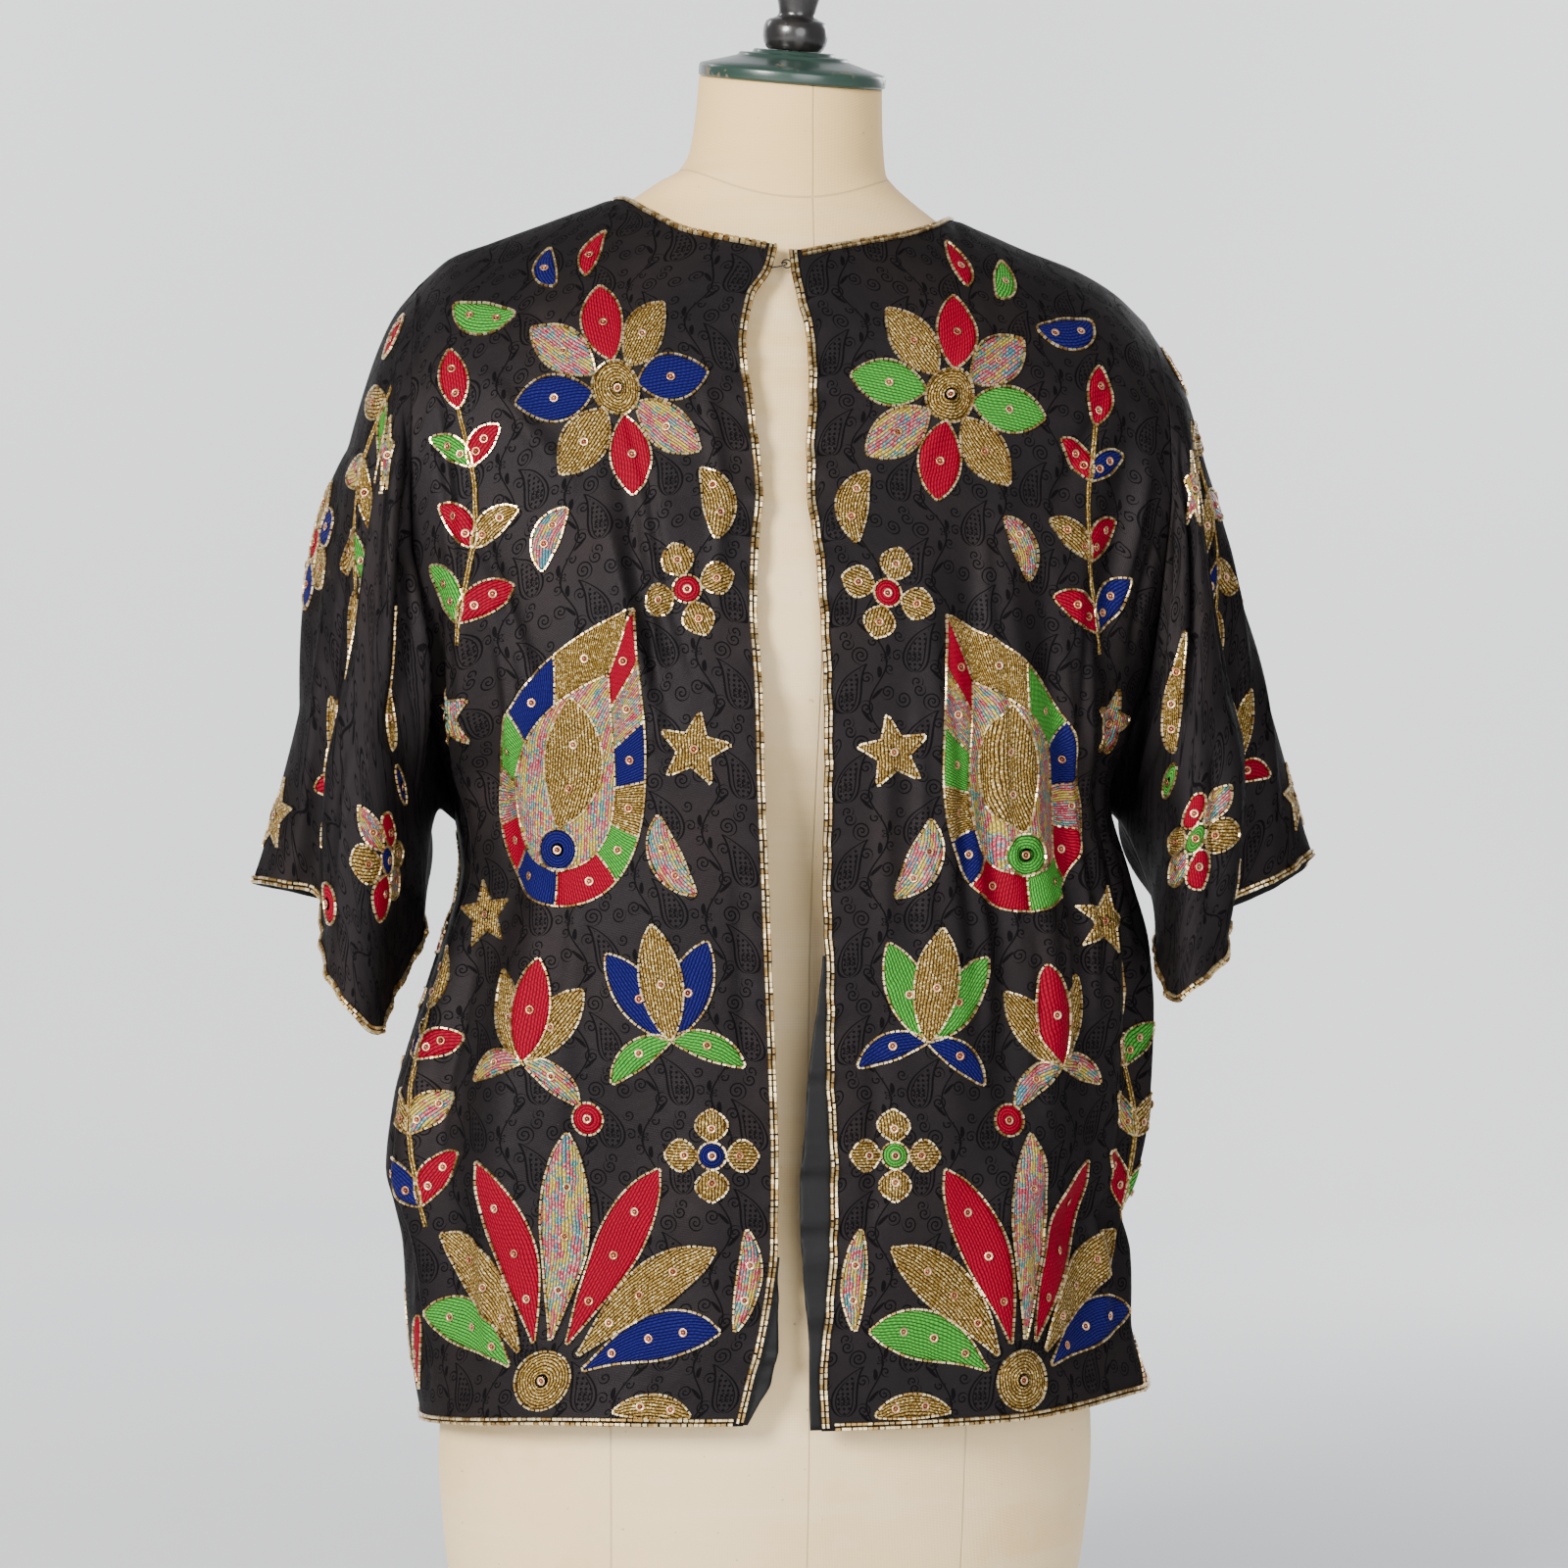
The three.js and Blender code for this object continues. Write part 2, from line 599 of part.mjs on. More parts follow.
function torsoGeometry() {
  const positions = [];
  const faces = [];
  for (const z of formHeights)
    for (let k = 0; k < formSides; k++) {
      const angle = (2 * Math.PI * k) / formSides;
      const [c, s] = [Math.cos(angle), Math.sin(angle)];
      const rounding = (t) => Math.sign(t) * Math.abs(t) ** (2 / formSizes("power", z));
      const x = formSizes(c < 0 ? "right" : "left", z) * rounding(c);
      const y = formSizes(s < 0 ? "front" : "back", z) * rounding(s);
      const slant = THREE.MathUtils.smoothstep(z, 878, form.neckTop);
      const tilt = (y - neckCentre.y) * Math.tan(radians(form.neckTilt));
      const lean = (x - neckCentre.x) * Math.tan(radians(form.neckLean));
      positions.push(x, y, z + (tilt - lean) * slant);
    }
  const at = (ring, k) => ring * formSides + (k % formSides);
  const lastRing = formHeights.length - 1;
  for (let ring = 0; ring < lastRing; ring++)
    for (let k = 0; k < formSides; k++) {
      faces.push(at(ring, k), at(ring, k + 1), at(ring + 1, k + 1));
      faces.push(at(ring, k), at(ring + 1, k + 1), at(ring + 1, k));
    }
  for (let k = 1; k < formSides - 1; k++) {
    faces.push(at(0, 0), at(0, k + 1), at(0, k));
    faces.push(at(lastRing, 0), at(lastRing, k), at(lastRing, k + 1));
  }
  const geometry = new THREE.BufferGeometry();
  geometry.setAttribute("position", new THREE.Float32BufferAttribute(positions, 3));
  geometry.setIndex(faces);
  geometry.computeVertexNormals();
  return geometry;
}

// A turned piece about +Z from pairs of radius and height.
function turned(profile, sides) {
  const geometry = new THREE.LatheGeometry(
    profile.map(([radius, height]) => new THREE.Vector2(radius, height)),
    sides,
  );
  return geometry.rotateX(Math.PI / 2);
}

// Stands a turned piece on the slanting top of the neck, height up from it.
function onNeck(geometry, height) {
  return geometry
    .translate(0, 0, height)
    .rotateX(radians(form.neckTilt))
    .rotateY(radians(form.neckLean))
    .translate(neckCentre.x, neckCentre.y, form.neckTop);
}

const capProfile = [
  [0, 0],
  [52.5, 0],
  [53.5, 1],
  [53.5, 6.5],
  [52.5, 7.5],
  [31.5, 13.5],
  [31, 15.2],
  [23.5, 15.6],
  [23, 17.5],
  [0, 17.5],
];
const finialProfile = [
  [0, 0],
  [15.7, 0],
  [17.8, 4],
  [18.6, 9],
  [18.4, 13],
  [15.5, 17],
  [11.5, 18.5],
  [10.4, 20],
  [11, 24],
  [12.6, 31],
  [15.5, 39],
  [17, 47],
  [15.5, 55],
  [10, 61],
  [0, 64],
];
const footProfile = [
  [0, 0],
  [form.footRadius - 4, 0],
  [form.footRadius, 4],
  [form.footRadius, form.footThick - 6],
  [form.footRadius - 6, form.footThick],
  [form.stemRadius + 22, form.footThick + 5],
  [form.stemRadius, form.footThick + 14],
  [form.stemRadius - 4, form.footHeight - 12],
  [form.stemRadius + 10, form.footHeight - seamGap],
  [0, form.footHeight - seamGap],
];

// ---------- hook and eye ----------
// Where a front edge is near the neck: its place, the way out of the cloth and the way in from the edge.
function edgeFrame(grid) {
  const row = grid.points[0].length - 2;
  const place = grid.points[0][row];
  return { place, out: grid.normals[0][row], inward: grid.points[1][row].clone().sub(place).normalize() };
}

function eyeCentre(left) {
  return left.place.clone().addScaledVector(left.inward, -1.6).addScaledVector(left.out, -hook.sink);
}

function eyeGeometry(left) {
  const turn = new THREE.Quaternion().setFromUnitVectors(new THREE.Vector3(0, 0, 1), left.out);
  const centre = eyeCentre(left);
  return new THREE.TorusGeometry(hook.eye, hook.wire / 2, 8, 24)
    .applyQuaternion(turn)
    .translate(centre.x, centre.y, centre.z);
}

function hookGeometry(left, right) {
  const centre = eyeCentre(left);
  const path = [
    [-hook.under - 6, -2.2],
    [-7, -1.9],
    [-1.3, -1.7],
    [0.3, 0],
    [-1, 1.6],
    [-3.2, 1.9],
  ].map(([across, out]) => {
    const p = centre.clone().addScaledVector(left.inward, across).addScaledVector(left.out, out);
    return across < -5 ? p.addScaledVector(right.out, -0.6) : p;
  });
  const section = new THREE.Shape();
  section.absarc(0, 0, hook.wire / 2, 0, 2 * Math.PI, false);
  return new THREE.ExtrudeGeometry(section, {
    steps: 20,
    curveSegments: 8,
    extrudePath: new THREE.CatmullRomCurve3(path),
    bevelEnabled: false,
  });
}

// ---------- materials ----------
const finish = (color, roughness, metalness = 0) =>
  new THREE.MeshStandardMaterial({ color, roughness, metalness, side: THREE.DoubleSide });
const silk = finish(0x17161a, 0.5);
const facingSilk = finish(0x101014, 0.42);
const goldBeads = finish(0xb08a3c, 0.3, 0.7);
const canvas = finish(0xe3d6b8, 0.85);
const greenPaint = finish(0x17281f, 0.35);
const blackWood = finish(0x17130f, 0.3);
const blackWire = finish(0x0c0c0d, 0.4, 0.5);

// ---------- the object ----------
const jacketOnForm = new THREE.Group();
const add = (name, geometry, material) => {
  const mesh = new THREE.Mesh(geometry, material);
  mesh.name = name;
  jacketOnForm.add(mesh);
  return mesh;
};
const strip = (name, grid, lift = edging.lift) =>
  add(name, wallGeometry(grid, lift + edging.thick, lift), goldBeads);

const fronts = {};
for (const side of [-1, 1]) {
  const smooth = gridOf(frontColumns, rows, (u, v) => frontPoint(side, u, v), side);
  const grid = folded(smooth, frontFolds[sideName(side)], frontFlat, rowHeight);
  for (let row = 0; row <= underarmRow; row++) flattenNormal(grid.normals[frontColumns][row], "y");
  for (let column = 0; column <= frontColumns; column++) flattenNormal(grid.normals[column][rows], "y");
  fronts[side] = grid;
}
const smoothBack = gridOf(backColumns, rows, (u, v) => backPoint(2 * u - 1, v), -1);
const back = folded(smoothBack, backFolds, backFlat, rowHeight);
for (const column of [0, backColumns])
  for (let row = 0; row <= underarmRow; row++) flattenNormal(back.normals[column][row], "y");
for (let column = 0; column <= backColumns; column++) flattenNormal(back.normals[column][rows], "y");

const sleeves = {};
add("back", wallGeometry(back, 0, -cloth), silk);
for (const side of [-1, 1]) {
  const name = sideName(side);
  const front = fronts[side];
  sleeves[side] = sleeveGrid(side, armholeOf(front, back, side));
  add("front_" + name, wallGeometry(front, 0, -cloth), silk);
  add("sleeve_" + name, wallGeometry(sleeves[side], 0, -cloth), silk);
}

const rowAt = (grid, z) => {
  const heights = grid.points[0].map((p) => p.z);
  const k = heights.findIndex((height) => height > z) - 1;
  return k + (z - heights[k]) / (heights[k + 1] - heights[k]);
};
// Where a top edge passes the neck point, in grid steps.
const columnAt = (grid, x) => {
  const top = grid.points.map((column) => column.at(-1).x);
  const k = top.findIndex((value, i) => i < top.length - 1 && (value - x) * (top[i + 1] - x) <= 0);
  return k + (x - top[k]) / (top[k + 1] - top[k]);
};

for (const side of [-1, 1]) {
  const name = sideName(side);
  const front = fronts[side];
  const past = (p) => -facingReach(name, p.z);
  const behind = stripGrid(front, "start", past, facing.under, 0, rowAt(front, facing[name + "Top"]));
  const outer = -cloth - facing.gap;
  add("facing_" + name, wallGeometry(behind, outer, outer - facing.thick), facingSilk);
  const corner = (row) => (edging.width + 1.5) / front.points[0][row].distanceTo(front.points[1][row]);
  const neckEnd = columnAt(front, side * neckPoint);
  strip("edging_front_" + name, stripGrid(front, "start", 0, edging.width));
  strip("edging_neck_" + name, stripGrid(front, "top", 0, edging.width, corner(rows), neckEnd));
  strip("edging_hem_" + name, stripGrid(front, "foot", 0, edging.width, corner(0), frontColumns));
  strip("edging_cuff_" + name, stripGrid(sleeves[side], "top", 0, edging.width));
}
const backNeck = [columnAt(back, -neckPoint), columnAt(back, neckPoint)];
strip("edging_neck_back", stripGrid(back, "top", 0, edging.width, ...backNeck), edging.neckLift);
strip("edging_hem_back", stripGrid(back, "foot", 0, edging.width));
add("neck_eye", eyeGeometry(edgeFrame(fronts[1])), blackWire);
add("neck_hook", hookGeometry(edgeFrame(fronts[1]), edgeFrame(fronts[-1])), blackWire);
add("form_torso", torsoGeometry(), canvas);
add("form_cap", onNeck(turned(capProfile, 32), seamGap), greenPaint);
add("form_finial", onNeck(turned(finialProfile, 24), 17.5 + 2 * seamGap), blackWood);
add("form_foot", turned(footProfile, 40), blackWood);

export default jacketOnForm;
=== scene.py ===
# Open-front jacket of black jacquard silk with beaded and embroidered patches, on a dress form.
# The wearer faces -Y. Cloth shapes are worked out in millimetres and put into meshes in metres.
import math

import bpy
import numpy as np
from mathutils import Matrix, Vector


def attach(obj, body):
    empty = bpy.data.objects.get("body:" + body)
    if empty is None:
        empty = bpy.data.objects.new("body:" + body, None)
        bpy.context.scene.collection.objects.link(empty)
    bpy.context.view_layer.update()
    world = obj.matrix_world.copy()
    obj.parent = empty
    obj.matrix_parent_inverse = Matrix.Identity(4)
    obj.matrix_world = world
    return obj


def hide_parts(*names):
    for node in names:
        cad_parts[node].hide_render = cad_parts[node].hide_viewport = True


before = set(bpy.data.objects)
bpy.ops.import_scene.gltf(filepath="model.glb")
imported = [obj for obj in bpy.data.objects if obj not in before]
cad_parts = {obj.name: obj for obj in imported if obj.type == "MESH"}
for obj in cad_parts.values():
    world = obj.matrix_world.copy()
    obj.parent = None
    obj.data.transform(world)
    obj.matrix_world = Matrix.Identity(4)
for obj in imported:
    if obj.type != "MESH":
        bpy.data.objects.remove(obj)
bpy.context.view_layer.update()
randomTone = np.random.default_rng(7)
print("frame loaded")

# camera: level, a little to the wearer's right of the middle
view = {
    "place": (-0.2803, -2.2829, 0.530), "aim": (0.1219, 0.9925, 0.0),
    "roll": 0.8, "lens": 92.4, "sensor": 36, "shift": 0.005,
}


def addCamera():
    camera = bpy.data.objects.new("camera", bpy.data.cameras.new("camera"))
    bpy.context.scene.collection.objects.link(camera)
    forward = Vector(view["aim"]).normalized()
    level = forward.cross(Vector((0, 0, 1)))
    roll = math.radians(view["roll"])
    up = Vector((0, 0, 1)) * math.cos(roll) - level * math.sin(roll)
    right = forward.cross(up)
    turn = Matrix((right, up, -forward)).transposed().to_4x4()
    camera.matrix_world = Matrix.Translation(view["place"]) @ turn
    camera.data.lens = view["lens"]
    camera.data.sensor_width = view["sensor"]
    camera.data.shift_x = view["shift"]
    bpy.context.scene.camera = camera


addCamera()
print("camera set")


# Smooth tables: a Hermite curve through the rows with harmonic-mean slopes, so it never overshoots them.
def slopesOf(places, values):
    steps = np.diff(values, axis=0) / np.diff(places).reshape((-1,) + (1,) * (values.ndim - 1))
    before, after = steps[:-1], steps[1:]
    same = before * after > 0
    total = np.where(same, before + after, 1)
    inner = np.where(same, 2 * before * after / total, 0)
    return np.concatenate([steps[:1], inner, steps[-1:]])


def readCurve(places, values, slopes, at):
    at = np.clip(at, places[0], places[-1])
    k = np.clip(np.searchsorted(places, at, side="right") - 1, 0, len(places) - 2)
    h = places[k + 1] - places[k]
    t = (at - places[k]) / h
    extra = (1,) * (values.ndim - 1)
    h = h.reshape(h.shape + extra)
    t = t.reshape(t.shape + extra)
    s = 1 - t
    ends = values[k] * s * s * (1 + 2 * t) + values[k + 1] * t * t * (3 - 2 * t)
    return ends + h * (slopes[k] * t * s * s - slopes[k + 1] * t * t * s)


def table(header, rows):
    names = header.split()
    data = np.array(rows, float)
    slopes = slopesOf(data[:, 0], data)

    def read(name, at):
        k = names.index(name)
        return readCurve(data[:, 0], data[:, k], slopes[:, k], np.asarray(at, float))

    return read


# half widths, depths at the middle and at the sides, and the section's turn in degrees, by height
bodySizes = table("z right left front back sideFront sideBack turn", [
    [165, 196, 221, 138, 134, 0, 0, 90],
    [190, 201, 218, 137, 133, 0, 0, 90],
    [230, 206, 203, 136, 131, 0, 0, 90],
    [268, 209, 199, 134, 128, 0, 0, 90],
    [290, 214, 193, 134, 126, 0, 0, 90],
    [310, 219, 204, 133, 124, 0, 0, 90],
    [350, 215, 210, 133, 121, 0, 0, 90],
    [400, 200, 211, 134, 118, 0, 0, 90],
    [440, 188, 208, 136, 116, 0, 0, 90],
    [480, 179, 197, 138, 115, 0, 0, 90],
    [525, 187, 186, 139, 115, 0, 0, 90],
    [560, 198, 196, 139, 115, 42, 38, 80],
    [600, 206, 204, 137, 115, 62, 56, 66],
    [650, 211, 208, 129, 115, 74, 68, 58],
    [700, 213, 211, 118, 114, 78, 73, 55],
    [740, 213, 211, 108, 110, 78, 74, 55],
    [770, 212, 209, 99, 104, 76, 74, 56],
    [800, 209, 208, 90, 95, 72, 72, 58],
    [825, 206, 208, 84, 84, 68, 68, 60],
    [860, 206, 208, 76, 66, 64, 64, 60],
])
# x of each front edge, by height
frontEdges = table("z right left", [
    [180, -31, 13], [193, -28, 12], [214, -23, 11], [225, -20, 12], [246, -16, 14], [280, -12, 16],
    [320, -12, 16], [372, -14, 13], [425, -17, 12], [477, -20, 9], [530, -23, 9], [583, -25, 8],
    [625, -28, 6], [656, -27, 4], [688, -24, 0], [714, -26, 0], [741, -29, 2], [768, -32, 2],
    [797, -27, -3], [813, -17, -6], [827, -13, -7],
])
# height of the neck and shoulder line, by distance from the middle
topEdge = table("x right left back", [
    [0, 825, 825, 851], [30, 831, 832, 852], [62, 838, 840, 854], [82, 850, 848, 856],
    [97, 861, 855, 858.5], [112, 856, 850, 853.5], [140, 845, 839, 843], [168, 834, 829, 832],
    [190, 825, 817, 821], [208, 807, 801, 804],
])
# how far each facing shows past its front edge, by height
facingReach = table("z right left", [
    [180, 1, 6], [196, 6, 5.5], [209, 10, 5], [224, 9, 6], [246, 5, 10], [272, 1.5, 14], [298, 1, 16],
    [319, 1, 16], [340, 1, 13], [362, 1, 10.5], [383, 1, 8], [425, 1, 2.5], [440, 1, 1],
])
# height of the hem, by share of the way to the side seam
hemLine = table("u right left back", [
    [0, 185, 182, 172], [0.35, 183, 184, 173], [0.7, 176, 190, 176], [1, 169, 190, 180],
])

cutSizes = {
    "wall": 0.9,  # silk with its lining
    "seamGap": 0.05,
    "underarm": 12 / 28,  # share of the rows where the armhole starts
    "shoulderY": 5,
    "capHeight": 110,
    "neckRise": 0.5,
    "neckPoint": 97,
    "sectionPower": 0.85,
    "topEnd": 825,  # height at which the shoulder seam's width is read
    "topTurn": 60,  # the section's turn along the shoulder seam
    "frontCells": (100, 180),
    "backCells": (150, 170),
    "sleeveCells": (120, 96),
}


def smoothstep(x, low, high):
    t = np.clip((x - low) / (high - low), 0, 1)
    return t * t * (3 - 2 * t)


def mix(a, b, share):
    return a + (b - a) * share


def rowHeight(v):
    return 1.25 * v - 0.25 * v**4


def sideName(side):
    return "left" if side > 0 else "right"


# Folds. Each row is a soft ridge (lift over 0) or trough along a straight line on the flat cloth:
# lift = sum of lift * sin(pi * share along the line)^0.8 * exp(-(distance from the line / width)^2).
def foldLift(folds, across, up):
    lift = np.zeros(np.broadcast(across, up).shape)
    for fromAcross, fromUp, toAcross, toUp, width, height in folds:
        da, du = toAcross - fromAcross, toUp - fromUp
        length = math.hypot(da, du)
        share = ((across - fromAcross) * da + (up - fromUp) * du) / length**2
        away = ((across - fromAcross) * du - (up - fromUp) * da) / length
        fade = np.sin(np.pi * np.clip(share, 0, 1)) ** 0.8
        lift += height * fade * np.exp(-((away / width) ** 2))
    return lift


# how much of each row's lift is used: broad folds, then the sharper creases
foldGain = {"front": (1.3, 2.3), "back": (1.25, 2.1), "sleeve": (1.9, 2.6)}

frontFlat = (260, 640)
frontFolds = {
    "right": [
        [52, 360, 96, 500, 9, -5], [120, 20, 140, 330, 20, 5], [165, 10, 175, 300, 18, -5],
        [205, 30, 215, 330, 16, 6], [236, 60, 232, 300, 12, -5], [160, 250, 182, 470, 14, -4],
        [200, 300, 214, 520, 13, 5], [226, 280, 240, 460, 10, -6], [70, 0, 75, 180, 22, -4],
        [30, 10, 34, 240, 16, 4],
    ],
    "left": [
        [60, 150, 66, 470, 10, 4], [88, 140, 92, 480, 9, -4], [116, 120, 120, 500, 10, 4],
        [142, 130, 146, 470, 9, -4], [168, 150, 176, 460, 10, 4.5], [196, 60, 204, 420, 12, -6],
        [222, 40, 226, 400, 12, 6], [242, 80, 246, 340, 9, -5], [150, 10, 165, 200, 18, -5],
        [90, 0, 100, 150, 20, 5], [200, 0, 215, 120, 16, 6], [190, 400, 222, 560, 14, -5],
    ],
}
frontCreases = {
    "right": [
        [46, 330, 104, 470, 4, 1.6], [40, 392, 90, 530, 3.5, -1.4], [64, 340, 70, 452, 3, -1.2],
        [150, 330, 188, 440, 5, 1.8], [138, 372, 200, 486, 4, -1.6], [210, 330, 226, 450, 4, 1.7],
        [232, 250, 238, 372, 3.5, 1.5], [100, 130, 112, 300, 7, 1.3], [88, 60, 96, 190, 5, -1.1],
        [180, 120, 190, 260, 6, -1.5], [14, 180, 18, 300, 4, -1.2], [24, 420, 30, 560, 5, 1.3],
        [120, 480, 190, 560, 7, 1.5], [84, 520, 160, 590, 6, -1.2], [206, 440, 236, 560, 5, -1.6],
        [146, 24, 152, 110, 5, 1.4], [214, 16, 218, 120, 5, -1.6], [52, 12, 56, 110, 5, 1.1],
    ],
    "left": [
        [48, 190, 52, 400, 4, 1.5], [70, 210, 74, 430, 3.5, -1.5], [79, 180, 82, 360, 3, 1.3],
        [98, 230, 104, 470, 4, 1.7], [108, 160, 110, 262, 3, -1.4], [128, 210, 134, 290, 3.5, 1.5],
        [134, 180, 138, 300, 3, -1.4], [152, 200, 158, 420, 4, 1.8], [160, 330, 186, 470, 4, -1.6],
        [182, 240, 190, 400, 4, 1.5], [208, 220, 214, 380, 3.5, 1.8], [232, 160, 236, 340, 3.5, -1.6],
        [28, 240, 34, 380, 5, 1.1], [20, 90, 24, 230, 5, -1.1], [112, 40, 120, 150, 5, -1.3],
        [178, 30, 184, 130, 5, 1.7], [214, 12, 226, 90, 5, -1.7], [60, 500, 120, 590, 7, 1.4],
        [150, 480, 214, 590, 6, -1.4], [206, 430, 238, 540, 5, 1.7], [222, 420, 246, 500, 4, -1.5],
    ],
}
backFlat = (540, 640)
backFolds = [
    [60, 40, 70, 400, 18, 6], [110, 0, 118, 360, 20, -6], [165, 20, 172, 330, 22, 6],
    [225, 0, 230, 300, 22, -5], [300, 20, 296, 320, 22, 5], [355, 0, 350, 380, 20, -6],
    [410, 10, 402, 330, 20, 6], [470, 30, 462, 400, 18, -6], [100, 380, 190, 560, 22, 4],
    [440, 380, 350, 560, 22, 4],
]
backCreases = [
    [84, 120, 92, 330, 6, 1.5], [132, 60, 140, 220, 6, -1.3], [196, 100, 200, 260, 7, 1.3],
    [246, 30, 250, 170, 6, -1.1], [282, 90, 278, 240, 7, 1.2], [330, 40, 326, 210, 6, -1.4],
    [384, 130, 376, 330, 6, 1.6], [440, 60, 434, 240, 6, -1.5], [70, 360, 140, 450, 6, 1.7],
    [60, 390, 150, 500, 5, -1.5], [474, 360, 402, 456, 6, 1.6], [482, 396, 390, 510, 5, -1.5],
    [200, 540, 350, 548, 8, 1.2], [150, 500, 236, 560, 7, -1.2], [392, 500, 310, 566, 7, -1.1],
    [24, 180, 30, 340, 5, 1.5], [512, 170, 506, 330, 5, -1.5],
]
sleeveFlat = (470, 320)
sleeveFolds = {
    "right": [
        [-4, 116, -2, 228, 26, 5], [100, 20, 150, 150, 10, 5], [128, 10, 172, 170, 9, -5],
        [150, 0, 196, 150, 9, 5], [60, 40, 84, 200, 12, -4], [320, 20, 280, 190, 12, 5],
        [350, 20, 316, 210, 12, -5], [400, 60, 380, 240, 14, 4], [110, 170, 118, 300, 13, 4],
        [260, 130, 262, 290, 14, 4],
    ],
    "left": [
        [96, 20, 150, 160, 10, -5], [124, 10, 176, 150, 9, 5], [60, 60, 92, 240, 13, -5],
        [150, 0, 200, 140, 9, -4], [330, 20, 286, 200, 12, 5], [362, 20, 322, 220, 12, -5],
        [410, 60, 390, 250, 14, 4], [120, 180, 128, 310, 13, 4], [262, 140, 262, 300, 14, 4],
    ],
}
sleeveCreases = {
    "right": [
        [112, 24, 158, 140, 4, 1.7], [136, 16, 186, 130, 4, -1.6], [84, 50, 120, 190, 5, 1.4],
        [40, 90, 70, 230, 6, -1.3], [160, 30, 206, 150, 4, 1.5], [96, 180, 102, 290, 5, -1.2],
        [134, 190, 140, 300, 5, 1.3], [306, 30, 268, 170, 5, 1.5], [338, 24, 300, 200, 5, -1.5],
        [380, 50, 352, 210, 6, 1.3], [420, 90, 410, 260, 7, -1.3], [30, 160, 46, 290, 6, 1.2],
    ],
    "left": [
        [110, 24, 164, 146, 4, 1.8], [138, 14, 190, 136, 4, -1.6], [78, 60, 112, 210, 5, -1.4],
        [36, 100, 62, 250, 6, 1.3], [160, 20, 210, 130, 4, 1.4], [104, 190, 112, 300, 5, 1.4],
        [142, 186, 146, 290, 5, -1.3], [312, 30, 274, 180, 5, 1.5], [344, 24, 308, 200, 5, -1.6],
        [390, 54, 364, 220, 6, 1.2], [424, 80, 412, 250, 7, -1.2], [24, 170, 38, 300, 6, 1.3],
    ],
}
# small puckers where the beads draw the edge up: reach is how far in from the edge they fade,
# start and end are the heights between which they come and go on the fronts
edgePucker = {
    "lift": 1.3, "reach": 9, "spacing": 27, "start": (185, 230), "end": (770, 815),
    "sleeveLength": 300, "sleeveShare": 0.8,
}
seamCalm = {"from": 0.97, "loss": 0.7, "armhole": 0.05}  # folds fade near the side seams and the armhole


def puckers(length, distance, phase):
    # lift = size * (sin(2 pi l / spacing) + half of it at 0.61 spacing) * exp(-(distance / reach)^2)
    turn = 2 * np.pi * length / edgePucker["spacing"]
    wave = np.sin(turn + phase) + 0.5 * np.sin(turn / 0.61 + 2.2 * phase)
    return edgePucker["lift"] * wave * np.exp(-((distance / edgePucker["reach"]) ** 2))


# Body cloth. How much of its full depth the cloth has under the shoulder line:
# a quarter circle, capHeight tall.
def capShare(x, z):
    sizes = cutSizes
    reach = np.abs(x)
    far = np.maximum(reach, sizes["neckPoint"])
    shoulder = np.where(x > 0, topEdge("left", far), topEdge("right", far))
    mean = (topEdge("left", sizes["neckPoint"]) + topEdge("right", sizes["neckPoint"])) / 2
    line = mix(mean, shoulder, smoothstep(reach, 0, sizes["neckPoint"]))
    line = line + sizes["neckRise"] * np.maximum(0, sizes["neckPoint"] - reach)
    below = np.clip((line - z) / sizes["capHeight"], 0, 1)
    return np.sqrt(1 - (1 - below) ** 2)


# A section from its middle (share 0) to the armhole or side seam (share 1):
# across = sin(share * a) / sin(a), depth falls as a power of the cosine from 1 to 0.
def sectionShare(share, turn):
    angle = np.radians(turn)
    power = cutSizes["sectionPower"]
    end = np.maximum(np.cos(angle), 0) ** power
    here = np.maximum(np.cos(share * angle), 0) ** power
    return np.sin(share * angle) / np.sin(angle), (here - end) / (1 - end)


def frontPoint(side, u, v):
    name = sideName(side)
    topEnd = cutSizes["topEnd"]
    share = sectionShare(u, cutSizes["topTurn"])[0]
    topX = mix(frontEdges(name, topEnd) * side, bodySizes(name, topEnd), share)
    z = mix(hemLine(name, u), topEdge(name, topX), rowHeight(v))
    across, deep = sectionShare(u, bodySizes("turn", z))
    x = mix(frontEdges(name, z), side * bodySizes(name, z), across)
    depth = mix(bodySizes("sideFront", z), bodySizes("front", z), deep)
    cap = capShare(x, z)
    y = cutSizes["shoulderY"] * (1 - cap) - depth * cap - cutSizes["seamGap"] / 2
    return np.stack([x, y, z], axis=-1)


def backPoint(u, v):
    share = np.abs(u)
    neckPoint = cutSizes["neckPoint"]

    def half(name):
        topX = bodySizes(name, cutSizes["topEnd"]) * sectionShare(share, cutSizes["topTurn"])[0]
        far = np.maximum(topX, neckPoint)
        gain = (topEdge(name, far) - topEdge("back", far)) * smoothstep(topX, 0, neckPoint)
        hem = mix(hemLine("back", share), hemLine(name, 1), smoothstep(share, 0.45, 1))
        z = mix(hem, topEdge("back", topX) + gain, rowHeight(v))
        across, deep = sectionShare(share, bodySizes("turn", z))
        return bodySizes(name, z) * across, deep, z

    xLeft, deepLeft, zLeft = half("left")
    xRight, deepRight, zRight = half("right")
    x = np.where(u < 0, -xRight, xLeft)
    deep = np.where(u < 0, deepRight, deepLeft)
    z = np.where(u < 0, zRight, zLeft)
    depth = mix(bodySizes("sideBack", z), bodySizes("back", z), deep)
    cap = capShare(x, z)
    y = cutSizes["shoulderY"] * (1 - cap) + depth * cap + cutSizes["seamGap"] / 2
    return np.stack([x, y, z], axis=-1)


